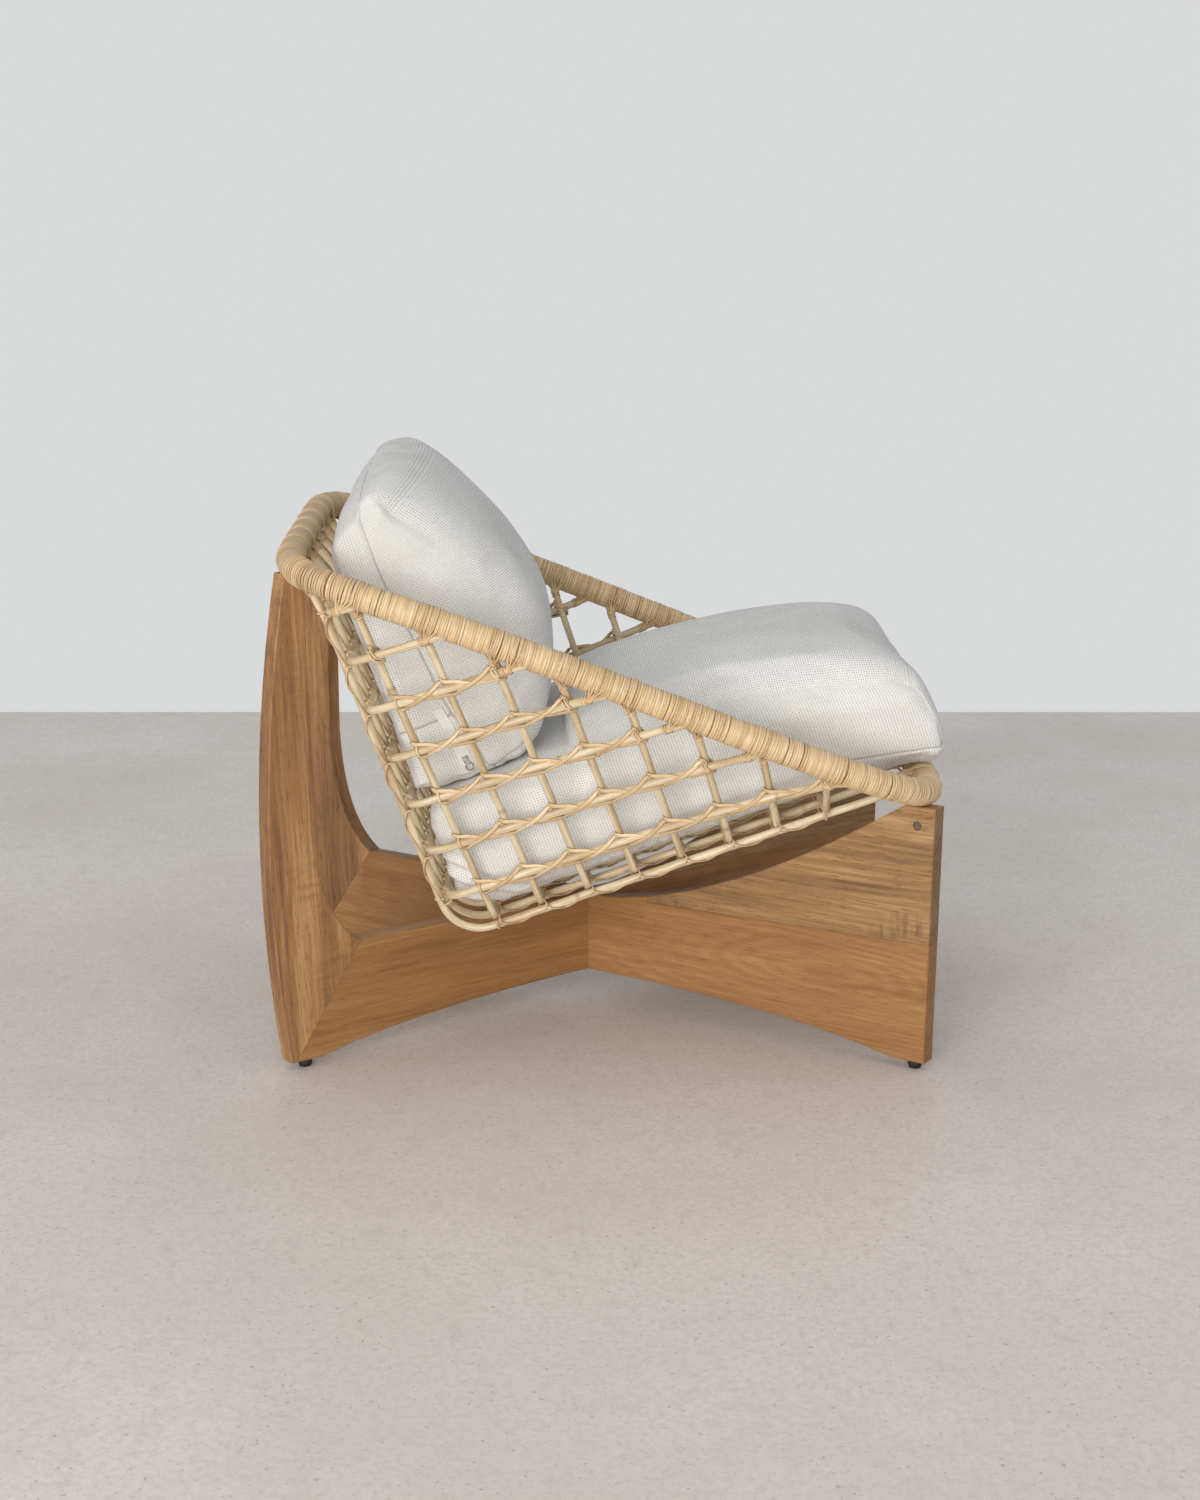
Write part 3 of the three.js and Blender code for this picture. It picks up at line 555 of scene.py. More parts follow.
def board_wood(name, panel, upright, tones, lines, figure, move, heart):
    """Boards lie along their panel's line; an upright one has its grain up the post. The cut ends,
    whose faces look along the grain, are darker."""
    material = new_material(name)
    n = Nodes(material.node_tree)
    where = n.add("ShaderNodeTexCoord").outputs
    turn = (0, 0, -PANEL_TURNS[panel])
    place, facing = n.mapped(where["Object"], turn=turn), n.mapped(where["Normal"], turn=turn)
    if upright:
        lift = (0, math.pi / 2 - POST_GRAIN_LEAN, 0)
        place, facing = n.mapped(place, turn=lift), n.mapped(facing, turn=lift)
    place = n.mapped(place, move=move)
    dark, middle, light = (rgb(tone) for tone in tones)
    wood = use(n, "wood_grain", {"Place": place, "Heart": heart, "Lines": lines, "Figure": figure,
                                 "Dark": dark, "Middle": middle, "Light": light})
    along_grain = n.math("ABSOLUTE", n.part(facing, 0))
    end = n.times(n.span(along_grain, 0.55, 0.85), 0.55)
    principled(n, n.mix(end, wood["Colour"], dark), wood["Rough"], wood["Height"], 0.25, 0.0004,
               Specular_IOR_Level=0.35)
    return material


def cane_material(name, light, dark, stain, coat):
    """Cane with its skin along the mesh's UVs, the mesh's own marks, and a thin clear coat."""
    material = new_material(name)
    n = Nodes(material.node_tree)
    place = n.add("ShaderNodeUVMap", uv_map="UVMap").outputs[0]
    mark = n.add("ShaderNodeAttribute", attribute_name="mark").outputs["Fac"]
    skin = use(n, "cane_skin", {"Place": place, "Light": rgb(light), "Dark": rgb(dark),
                                "Stain": rgb(stain), "Mark": mark})
    principled(n, skin["Colour"], skin["Rough"], skin["Height"], 0.2, 0.0003, Coat_Weight=coat,
               Coat_Roughness=0.35)
    return material


def cloth_material(name):
    """The cushions' cloth: the weave, a slow change of tone, and painted shade as a fine grey line in
    the seams, with a darker painted shadow along the seams under a flap.
    """
    material = new_material(name)
    n = Nodes(material.node_tree)
    place = n.add("ShaderNodeUVMap", uv_map="UVMap").outputs[0]
    seam = n.add("ShaderNodeAttribute", attribute_name="seam").outputs["Fac"]
    weave = use(n, "open_weave", {"Place": place, "Pitch": WEAVE_PITCH})
    soft = n.noise(n.add("ShaderNodeTexCoord").outputs["Object"], 9.0)
    colour = n.mix(n.span(soft, 0.3, 0.7), rgb("eae9e7"), rgb("dfded9"))
    colour = n.mix(n.times(weave["Slub"], 0.25), colour, rgb("cfcac1"))
    colour = n.mix(n.times(weave["Dot"], 0.95), colour, rgb("746e65"))
    # painted shade: a grey line laid along the seams, where the cloth is drawn in
    colour = n.mix(n.span(seam, 0.55, 0.95, 0.0, 0.6), colour, rgb("8d857a"))
    # painted shadow: seams under a flap (seam value 2) are darkened further, as the flap would shade
    # them
    colour = n.mix(n.span(seam, 1.1, 1.9), colour, rgb("4f4b46"))
    principled(n, colour, 0.92, weave["Height"], 0.6, 0.0008, Sheen_Weight=0.12, Sheen_Roughness=0.5,
               Specular_IOR_Level=0.15)
    return material


def plain_material(name, colour, other, rough, **sockets):
    """A plain finish with a slow speckle of a second colour and a fine grain in its bump."""
    material = new_material(name)
    n = Nodes(material.node_tree)
    speck = n.noise(n.add("ShaderNodeTexCoord").outputs["Object"], 400.0)
    principled(n, n.mix(n.span(speck, 0.35, 0.7), rgb(colour), rgb(other)),
               n.span(speck, 0.3, 0.7, rough - 0.06, rough + 0.06), speck, 0.15, 0.0002, **sockets)
    return material


bark = cane_material("cane_bark", "dfcead", "b89f78", "7e6446", 0.05)
split_skin = cane_material("split_cane", "e4cba3", "c9a677", "8b6942", 0.1)
pole_wood = cane_material("rim_pole_wood", "8a6238", "5f3f20", "3f2814", 0.0)
cloth = cloth_material("open_weave_cloth")
POST_TONES = ("62442b", "966d45", "b98e60")
BEAM_TONES = ("7f5531", "996e42", "ae8555")
LEG_TONES = ("6a4d32", "98744c", "b89469")
FINISHES = {
    "rear_post_right": board_wood("post_wood_right", "right", True, POST_TONES, 0.05, 0.35,
                                  (0, 0, 0), (0.1, 0.3, 0.1)),
    "rear_post_left": board_wood("post_wood_left", "left", True, POST_TONES, 0.05, 0.35,
                                 (0.4, 0.05, 0.2), (0.3, 0.3, 0.1)),
    "beam_right_rear_to_left_front": board_wood(
        "beam_wood_right", "right", False, BEAM_TONES, 0.06, 0.0, (0, 0, 0), (0.22, 0.03, 0.11)),
    "beam_left_rear_to_right_front": board_wood(
        "beam_wood_left", "left", False, BEAM_TONES, 0.06, 0.0, (0, 0.04, 0), (-0.33, 0.05, 0.1)),
    "front_leg_board_left": board_wood("leg_wood_left", "right", False, LEG_TONES, 0.08, 0.8,
                                       (0.5, 0.02, 0.05), (0.2, 0.2, 0.5)),
    "front_leg_board_right": board_wood("leg_wood_right", "left", False, LEG_TONES, 0.08, 1.0,
                                        (1.3, 0, 0.4), (1.0, 0.2, 0.9)),
}
SIMPLE_FINISHES = {
    "dowel": plain_material("dowel_wood", "c9a878", "b08d5d", 0.7),
    "barrel_nut": plain_material("dark_steel", "7a6c5d", "5e5246", 0.5, Metallic=0.7),
    "rim_bolt": plain_material("bright_steel", "b9b7b0", "a19e96", 0.35, Metallic=1.0),
    "back_cushion_zip_slider": plain_material("slider_steel", "8f8c86", "6f6c67", 0.4, Metallic=1.0),
    "glide": plain_material("black_plastic", "1c1b1a", "121212", 0.6),
    "back_cushion_zip_tape": plain_material("zip_cloth", "e4e1dc", "d5d1c9", 0.9),
}
for name in nodes:
    for word, material in SIMPLE_FINISHES.items():
        if word in name:
            FINISHES[name] = material
for name, material in FINISHES.items():
    nodes[name].data.materials.clear()
    nodes[name].data.materials.append(material)


# Canes: round stock with a slight waver, a swelling and a dark ring at each joint of the plant
WAVER = 0.35
WAVE_LENGTHS = ([60, 110, 200], [90, 160, 330])
JOINT_SPACING = (170.0, 300.0)
JOINTS = 20
RING_REACH = 2.2
RING_RISE = 0.28
SWELL_REACH = 14
SWELL_RISE = 0.22
BREATH_LENGTH = 85
BREATH = 0.12
CANE_STEP = 5.0
CANE_SIDES = 12
# how dark a joint's ring is, and the step in metres that gives each cane its own stretch of bark
RING_MARK = 0.6
BARK_STEP = 0.77


def cane(name, line, radius, guide, seed, stands_for):
    """A cane along a line, moved aside by three slow sines; its radius is swollen by narrow bells
    at the plant's joints, which also mark the bark."""
    random = np.random.default_rng(seed)
    line = evenly(in_basket(line), CANE_STEP * MM)
    distance = lengths(line) / MM
    side, lift = square_to(way_on(line), guide)
    for way in (side, lift):
        phases = random.uniform(0, FULL_TURN, 3)
        waves = random.uniform(*WAVE_LENGTHS)
        sway = sum(np.sin(distance / w * FULL_TURN + p) for w, p in zip(waves, phases)) / 3
        line = line + way * (sway * WAVER * MM)[:, None]
    places = np.cumsum(random.uniform(*JOINT_SPACING, JOINTS)) - random.uniform(0, JOINT_SPACING[0])
    gaps = np.abs(distance[:, None] - places[None]).min(1)
    ring = bell(gaps, RING_REACH)
    swell = bell(gaps, SWELL_REACH)
    breathe = np.sin(distance / BREATH_LENGTH + random.uniform(0, 6)) * BREATH
    size = (radius + RING_RISE * ring + SWELL_RISE * swell + breathe) * MM
    surface = Surface()
    grid, v = rings_about(line, side, lift, size, CANE_SIDES)
    surface.sheet(grid, lengths(line) + seed * BARK_STEP, v, ring[:, None] * RING_MARK)
    thing = surface.make(name, bark)
    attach(thing, "frame")
    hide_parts(stands_for)


def between(value, given, wanted):
    """The straight line through two points, carried on past them."""
    return wanted[0] + (value - given[0]) * (wanted[1] - wanted[0]) / (given[1] - given[0])


def basket_side(foot):
    """The straight side of a hoop with its foot there: low and high ends, height and lean."""
    low = between(foot, (0, RIM_FRONT[0]), FLOOR_HALF_WIDTHS)
    head = between(foot, HOOP_FEET, HOOP_HEADS)
    high = float(rim_width_at(rim_reach_at_ahead(max(head, HOOP_HEADS[0]))))
    height = float(rim_up(between(head, (RIM_BACK[0], RIM_FRONT[0]), RIM_REACHES)))
    return {"low": low, "high": high, "foot": foot, "head": head, "height": height,
            "lean": math.atan2(high - low, height)}


def side_at(side, share):
    return (side["low"] + (side["high"] - side["low"]) * share,
            side["foot"] + (side["head"] - side["foot"]) * share,
            side["height"] * share)


def foot_under_head(height):
    """The foot of the hoop line whose head is level with a height."""
    reach = between(height, (RIM_BACK[1], RIM_FRONT[1]), RIM_REACHES)
    return between(rim_ahead(reach), HOOP_HEADS, HOOP_FEET)


def row_place(foot, up):
    """Where a row at a height passes outside the hoop line with a given foot: across and ahead."""
    side = basket_side(foot)
    drop = ROW_OFFSET * math.sin(side["lean"])
    across, ahead, _ = side_at(side, (up + drop) / side["height"])
    return across + ROW_OFFSET * math.cos(side["lean"]), ahead


def long_line(i):
    """Down the back, round the corner and forward to the front rim."""
    share = between(i, (0, LONG_CANES - 1), (-1, 1))
    top, low, front = share * BACK_HALF_WIDTH, share * FLOOR_HALF_WIDTHS[0], share * FLOOR_HALF_WIDTHS[1]
    back_reach = float(rim_reach_across(top, 1))
    bend_up = float(rim_up(back_reach)) - TOP_BEND_DROP
    front_reach = float(rim_reach_across(front, -1))
    return bent_line([
        (top, rim_ahead(back_reach), rim_up(back_reach)),
        (low + (top - low) * bend_up / RIM_BACK[1], CANE_RADIUS, bend_up),
        (low, CANE_RADIUS, CANE_RADIUS),
        (front, rim_ahead(front_reach), CANE_RADIUS),
    ], [TOP_BEND, CORNER_BEND])


def hoop_foot(i):
    return between(i, (0, HOOPS - 1), HOOP_FEET)


def hoop_line(i):
    """Down one side from the rim, across the floor and up the other side."""
    side = basket_side(hoop_foot(i))
    head = side_at(side, 1)
    knee = side_at(side, HOOP_LEVEL / side["height"])
    return bent_line([head, knee, (-knee[0], *knee[1:]), (-head[0], *head[1:])], [HOOP_BEND, HOOP_BEND])


def row_up(i):
    return FIRST_ROW_UP + i * ROW_SPACING


ROW_STOPS = 7


def row_half(i):
    """Half a row, from its end at the rim back to its corner behind the sitter."""
    up = row_up(i)
    lean = basket_side(foot_under_head(up))["lean"]
    end_foot = foot_under_head(up + ROW_OFFSET * math.sin(lean))
    stops = np.arange(ROW_STOPS) / ROW_STOPS
    places = [row_place(end_foot + (ROW_AHEAD + ROW_BEND - end_foot) * s, up) for s in stops]
    corner = (row_place(ROW_AHEAD, up)[0], ROW_AHEAD)
    return [places[0], corner] if end_foot - ROW_AHEAD < 3 * ROW_BEND else [*places, corner]


def row_line(i):
    half = row_half(i)
    right = [(-across, ahead, row_up(i)) for across, ahead in half]
    left = [(across, ahead, row_up(i)) for across, ahead in half][::-1]
    bends = [ROW_BEND if n == len(right) - 2 else 0 for n in range(len(right) - 1)]
    return bent_line([*right, *left], [*bends, *bends[::-1]])


long_lines = [long_line(i) for i in range(LONG_CANES)]
hoop_lines = [hoop_line(i) for i in range(HOOPS)]
row_lines = [row_line(i) for i in range(ROWS)]
# each kind of cane with its lines, its radius, the way that its waver is set out from, and its seed
CANE_KINDS = (
    ("long", long_lines, CANE_RADIUS, ACROSS_WAY, 11),
    ("hoop", hoop_lines, HOOP_RADIUS, AHEAD_WAY, 31),
    ("row", row_lines, CANE_RADIUS, UP_WAY, 51),
)
for kind, lines, radius, guide, seed in CANE_KINDS:
    for i, line in enumerate(lines):
        cane(f"cane_{kind}_{i + 1}", line, radius, guide, seed + i, f"{kind}_cane_{i + 1}")

# Rim: a pole, and one long split of cane wound round it from end to end
RIM_POLE_RADIUS = 16.0
RIM_STATIONS = 260
RIM_STEP = 0.5
# half of the short stretch in metres over which the rim's direction is taken
RIM_AIM = 0.004
WRAP_PITCH = 3.1
WRAP_STEPS = 16
WRAP_WIDTHS = (3.1, 3.6)
WRAP_THICKNESS = 1.0
WRAP_SHARES = np.array([[-0.5, -0.35], [-0.36, 0.2], [0.36, 0.2], [0.5, -0.35]])
# how deep the split is sunk below the rim's radius, and the metres of it in one turn
WRAP_SINK = 0.35
WRAP_TURN = 0.107
# turns in a run; a run whose draw from 0 to 1 is above GAP_ABOVE starts with a turn of the gap's pitch
WRAP_RUN = 6
GAP_ABOVE = 0.62
GAP_PITCH = 1.42
# how many turns a lean lasts, and how far it goes
LEAN_TURNS = 12
LEAN = 0.5
# the y from which the back bar is greyer, and by how much
GREYER_FROM = 0.27
GREYER_MOST = 0.34
even_shares = np.linspace(0, 1, 601) ** (RIM_SQUARENESS / 2)
quarter = np.sort(np.concatenate([np.arcsin(even_shares), np.arccos(even_shares)]))
half_round = np.concatenate([quarter, math.pi - quarter[::-1]])
rim_turns = np.concatenate([half_round, math.pi + half_round])
rim_dense = evenly(rim_point(rim_turns), RIM_STEP * MM)
rim_total = lengths(rim_dense)[-1]
rim_normal = unit(np.cross(ACROSS_WAY, in_basket((0, *RIM_FRONT)) - in_basket((0, *RIM_BACK))))


def rim_places(distance):
    """The rim's middle line, and its way on, side and lift, at distances along it."""
    here = along(rim_dense, np.mod(distance, rim_total))
    ahead_of = along(rim_dense, np.mod(distance + RIM_AIM, rim_total))
    behind = along(rim_dense, np.mod(distance - RIM_AIM, rim_total))
    on = unit(ahead_of - behind)
    return here, on, *square_to(on, rim_normal)


def rim_pole():
    """The pole inside the winding, one closed ring."""
    stations = np.arange(RIM_STATIONS) / RIM_STATIONS * rim_total
    here, _, side, lift = rim_places(stations)
    grid, v = rings_about(here, side, lift, RIM_POLE_RADIUS * MM, 20)
    surface = Surface()
    surface.sheet(grid, stations, v, closed=True)
    thing = surface.make("rim_pole", pole_wood)
    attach(thing, "frame")
    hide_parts("rim")


def rim_wrap():
    """The split's middle is on the rim at distance s and angle a, where a turns once for each
    pitch of s; each turn has its own width and sits a little high or low, and leans by a slow wave."""
    random = np.random.default_rng(5)
    turns = int(rim_total / MM / WRAP_PITCH)
    pitch = random.uniform(0.86, 1.14, turns)
    loose = np.repeat(random.uniform(0, 1, turns // WRAP_RUN + 1), WRAP_RUN)[:turns]
    pitch = np.where((loose > GAP_ABOVE) & (np.arange(turns) % WRAP_RUN == 0), GAP_PITCH, pitch)
    ends = np.concatenate([[0], np.cumsum(pitch)])
    ends = ends / ends[-1] * rim_total
    t = np.arange(turns * WRAP_STEPS) / WRAP_STEPS
    angle = FULL_TURN * t
    run = np.ones(LEAN_TURNS) / LEAN_TURNS ** 0.5
    leans = np.convolve(random.normal(0, 1, turns + 40), run, "same")[:turns + 1]
    turn_ends = np.arange(turns + 1)
    lean = np.interp(t, turn_ends, leans) * LEAN * MM
    s = np.interp(t, turn_ends, ends) + lean * np.sin(angle + 0.8)
    lift_mm = np.interp(t, turn_ends, random.uniform(-0.08, 0.1, turns + 1))
    high = (RIM_RADIUS - WRAP_SINK + lift_mm) * MM
    wide = np.interp(t, turn_ends, random.uniform(*WRAP_WIDTHS, turns + 1)) * MM
    here, on, side, lift = rim_places(s)
    out = np.cos(angle)[:, None] * side + np.sin(angle)[:, None] * lift
    grid = (here + out * high[:, None])[:, None] + (
        wide[:, None, None] * WRAP_SHARES[None, :, :1] * on[:, None]
        + WRAP_THICKNESS * MM * WRAP_SHARES[None, :, 1:] * out[:, None])
    # the back bar and single turns are greyer
    greyer = GREYER_MOST * ramp(here[:, 1], GREYER_FROM, 0.1)
    tones = np.repeat(np.clip(random.normal(0, 0.13, turns), 0, 0.5), WRAP_STEPS) + greyer
    surface = Surface()
    surface.sheet(grid, t * WRAP_TURN, WRAP_SHARES[:, 0] * SPLIT_SKIN, tones[:, None])
    thing = surface.make("rim_wrap", split_skin)
    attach(thing, "frame")


rim_pole()
rim_wrap()

# Lashings: two splits of cane follow each outer cane, go behind the cane that it crosses, and
# cross each other half way to the next one
SPLIT_WIDTH = 3.3
PAIR_WIDTH = 5.2
SPLIT_THICKNESS = 1.1
LIE = 0.6
CORNER_UP = 11.0
CORNER_BACK = 2.6
# the bay between two crossings: how far along each step is, and how much lower the second split is
BAY_SHARES = (0.25, 0.5, 0.75)
BAY_STEPS = np.array([(0, -5.9, 3.4, 0, -0.3, 0.95), (0, 0, 6.7, 0, 0, 1), (0, 5.9, 3.4, 0, 0.3, 0.95)])
BAY_DROP = 0.9
SPAN_STEPS = 4
# half of the short stretch in metres over which an outer cane's direction is taken
CANE_AIM = 0.003
# how far apart along the cane the two short turns at a tied end lie, each way
TURN_SHIFTS = (-1.9, 1.9)
LINE_STEP = 2.0
# a hoop is tied to the rows up to this share of its height
TIED_BELOW = 0.93
# how far off its level or its wall a cane still counts as lying there
OFF_LEVEL = 1
OFF_WALL = 4
# the first random seed of the lashings of rows, backs and floors, and of the rim ties
ROW_SEED = 100
BACK_SEED = 200
FLOOR_SEED = 300
TIE_SEED = 400


def outer_frames(line, distances, ways, hint):
    """At distances along an outer cane: its middle, the way on, the way along the inner cane, and
    out, which is square to both and on the hint's side."""
    here = along(line, distances)
    on = unit(along(line, distances + CANE_AIM) - along(line, distances - CANE_AIM))
    out = unit(np.cross(on, ways))
    out = out * np.where((out * hint).sum(-1) < 0, -1.0, 1.0)[..., None]
    up = np.cross(out, on)
    return here, on, unit(up) * np.sign((up * ways).sum(-1))[..., None], out


def laid(frame_of, steps):
    """Points and normals from rows of (along, up, out, normal along, normal up, normal out) in mm."""
    here, on, up, out = (x[:, None] for x in frame_of)
    steps = np.moveaxis(np.asarray(steps, float), -1, 0)[..., None]
    points = here + MM * (on * steps[0] + up * steps[1] + out * steps[2])
    return points, unit(on * steps[3] + up * steps[4] + out * steps[5])


def reach_behind(inner_radius):
    """How far a split goes to the side of the inner cane, to the gap's middle, and behind it all."""
    hollow = CANE_RADIUS + FIT + inner_radius
    return inner_radius + LIE, hollow, hollow + inner_radius + LIE


def crossing_steps(inner_radius):
    """The steps of the two splits at a crossing. The first shows at two opposite corners, the second
    passes over the inner cane above and below, and both go behind the inner cane."""
    side, hollow, rear = reach_behind(inner_radius)
    corner = inner_radius + 1.0
    behind = [(-side, 7, -hollow, -1, 0, 0), (0, 0, -rear, 0, 0, -1), (side, -7, -hollow, 1, 0, 0)]
    first = [(-corner, CORNER_UP, -CORNER_BACK, -0.6, 0.1, 0.8), *behind,
             (corner, -CORNER_UP, -CORNER_BACK, 0.6, -0.1, 0.8)]
    second = [(0, -9, -0.6, 0, -0.2, 1), (corner, -CORNER_UP, -4.5, 0.7, 0, 0.7), *behind[::-1],
              (-corner, CORNER_UP, -4.5, -0.7, 0, 0.7), (0, 9, -0.6, 0, 0.2, 1)]
    return first, second


def end_steps(inner_radius):
    """The steps of one short turn round a crossing, and of the band that lies over its middle."""
    side, hollow, rear = reach_behind(inner_radius)
    corner = inner_radius + 1.0
    turn = [(-corner, 9, -CORNER_BACK, -0.7, 0.3, 0.7), (-1.5, 3, 5.6, 0, 0.3, 1),
            (1.5, -3, 5.6, 0, -0.3, 1), (corner, -9, -CORNER_BACK, 0.7, -0.3, 0.7),
            (side, -6, -hollow, 1, 0, 0), (0, 0, -rear, 0, 0, -1), (-side, 6, -hollow, -1, 0, 0)]
    band = [(0, 8, -4.6, 0, 0.3, 1), (0, 5, 3.8, 0, 0.8, 0.6), (0, 0, 6.3, 0, 0, 1),
            (0, -5, 3.8, 0, -0.8, 0.6), (0, -8, -4.6, 0, -0.3, 1)]
    return turn, band


def with_bays(crossings, bay_frames, second):
    """The points or normals at the crossings with those of the bays between them: the second split
    runs the other way across and a little lower, so the two cross half way."""
    flip = np.array([1, -1, 1, 1, -1, 1.0]) if second else np.ones(6)
    low = np.array([0, 0, -BAY_DROP * second, 0, 0, 0.0])
    gaps = len(crossings[0]) - 1
    bays = [laid(frame_of, [[row * flip + low]] * gaps) for frame_of, row in zip(bay_frames, BAY_STEPS)]
    filler = np.zeros((1, len(BAY_STEPS), 3))
    rows = []
    for k in (0, 1):
        between_them = np.concatenate([np.concatenate([bay[k] for bay in bays], 1), filler])
        rows.append(np.concatenate([crossings[k], between_them], 1).reshape(-1, 3)[:-len(BAY_STEPS)])
    return rows


def lash(surface, line, stops, ways, hint, inner_radius, seed, last_tied=False):
    """The two splits past the crossings at the given distances along a line in metres. Both ends of
    the row of crossings get a band, and a last end that is tied gets two short turns."""
    random = np.random.default_rng(seed)
    stops, ways = np.asarray(stops), np.asarray(ways)
    at = outer_frames(line, stops, ways, hint)
    bay_frames = [outer_frames(line, stops[:-1] + share * np.diff(stops),
                               ways[:-1] + share * np.diff(ways, axis=0), hint) for share in BAY_SHARES]
    for second, steps in enumerate(crossing_steps(inner_radius)):
        crossings = laid(at, [steps] * len(stops))
        points, normals = (with_bays(crossings, bay_frames, second) if len(stops) > 1
                           else (crossings[0][0], crossings[1][0]))
        flat_split(surface, smoothly(points, SPAN_STEPS), unit(smoothly(normals, SPAN_STEPS)),
                   PAIR_WIDTH * random.uniform(0.9, 1.1), SPLIT_THICKNESS, random.uniform(0, 0.15),
                   shares=PAIR_SHARES)
    turn, band = end_steps(inner_radius)
    for tied, k in ((False, 0), (last_tied, len(stops) - 1)):
        place = tuple(x[k:k + 1] for x in at)
        points, normals = laid(place, [band])
        flat_split(surface, smoothly(points[0], 3), unit(smoothly(normals[0], 3)),
                   SPLIT_WIDTH, SPLIT_THICKNESS)
        for shift in TURN_SHIFTS if tied else ():
            moved = np.array(turn) + np.array([shift, 0.5 * shift, 0.25, 0, 0, 0])
            points, normals = laid(place, [moved])
            flat_split(surface, smoothly(points[0], 4, closed=True),
                       unit(smoothly(normals[0], 4, closed=True)), SPLIT_WIDTH * 0.85, SPLIT_THICKNESS,
                       closed=True)


def finish_lashing(surface, name):
    thing = surface.make(name, split_skin)
    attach(thing, "frame")


def nearest(line, point):
    """The distance along a dense line at which it passes closest to a point."""
    return lengths(line)[np.argmin(np.linalg.norm(line - point, axis=1))]


def lash_rows():
    """Each row is tied to the hoops on both sides, from the rear forward."""
    for sign, label in ((-1, "right"), (1, "left")):
        surface = Surface()
        for i, row in enumerate(row_lines):
            half = row[row[:, 0] * sign > 0]
            half = half[np.argsort(half[:, 1], kind="stable")]
            line = evenly(in_basket(half), LINE_STEP * MM)
            stops, ways = [], []
            for j in range(HOOPS):
                side = basket_side(hoop_foot(j))
                if row_up(i) + ROW_OFFSET > TIED_BELOW * side["height"]:
                    continue
                across, ahead = row_place(hoop_foot(j), row_up(i))
                stops.append(nearest(line, in_basket((sign * across, ahead, row_up(i)))))
                ways.append(unit(in_basket((sign * side["high"], side["head"], side["height"]))
                                 - in_basket((sign * side["low"], side["foot"], 0))))
            if stops:
                lash(surface, line, stops, ways, sign * ACROSS_WAY, HOOP_RADIUS, ROW_SEED + i, True)
        finish_lashing(surface, "row_lashing_" + label)


def lash_long_canes():
    """Each long cane is tied to the rows up the back and to the hoops under the floor."""
    middle = (LONG_CANES + 1) // 2
    for label, chosen in (("right", range(middle)), ("left", range(middle, LONG_CANES))):
        surface = Surface()
        for i in chosen:
            in_mm = evenly(long_lines[i], LINE_STEP)
            line = in_basket(in_mm)
            places = lengths(line)
            floor_part = np.abs(in_mm[:, 2] - CANE_RADIUS) < OFF_LEVEL
            back_part = ~floor_part & (in_mm[:, 1] < CANE_RADIUS + OFF_WALL)
            top = in_mm[back_part][:, 2].max()
            stops = [np.interp(-row_up(j), -in_mm[back_part][:, 2], places[back_part])
                     for j in range(ROWS)[::-1] if row_up(j) < top - OFF_WALL]
            lash(surface, line, stops, [ACROSS_WAY] * len(stops), -AHEAD_WAY, CANE_RADIUS,
                 BACK_SEED + i)
            stops = [np.interp(hoop_foot(j), in_mm[floor_part][:, 1], places[floor_part])
                     for j in range(HOOPS)]
            lash(surface, line, stops, [ACROSS_WAY] * HOOPS, -UP_WAY, HOOP_RADIUS, FLOOR_SEED + i)
        finish_lashing(surface, "long_lashing_" + label)


# Rim ties: three turns round a cane near its end, and splits from them slung over the rim
COLLAR_AT = 25.0
COLLAR_TURNS = 3.4
COLLAR_LENGTH = 10
COLLAR_POINTS = 40
COLLAR_OUT = 0.7
SLING_RADIUS = 17.15
# from the first to below the second number of slings; where they lie, and how far they stray
SLING_COUNTS = (4, 7)
SLING_SHIFTS = (-11.5, -7.0, -2.4, 2.2, 6.6, 11.0)
SLING_STRAY = 0.8
# a sling's two steps off the collar, as further down and further out than its face, their shares of
# the way along the rim, and the share of the knot's own offset that the sling keeps on the rim
FACE_OUT = 1.3
SLING_ENDS = ((3, -1.0), (-4, 1.2))
END_REACHES = [0.15, 0.35]
SLIDE_KEPT = 0.35
# stations on each side over which a cane's direction at its knot is taken
AIM_STATIONS = 3
# where a sling lies on the rim, in degrees round it from the side of the collar
SLING_ANGLES = (62, 95, 130, 165, 200, 235, 265, 298)


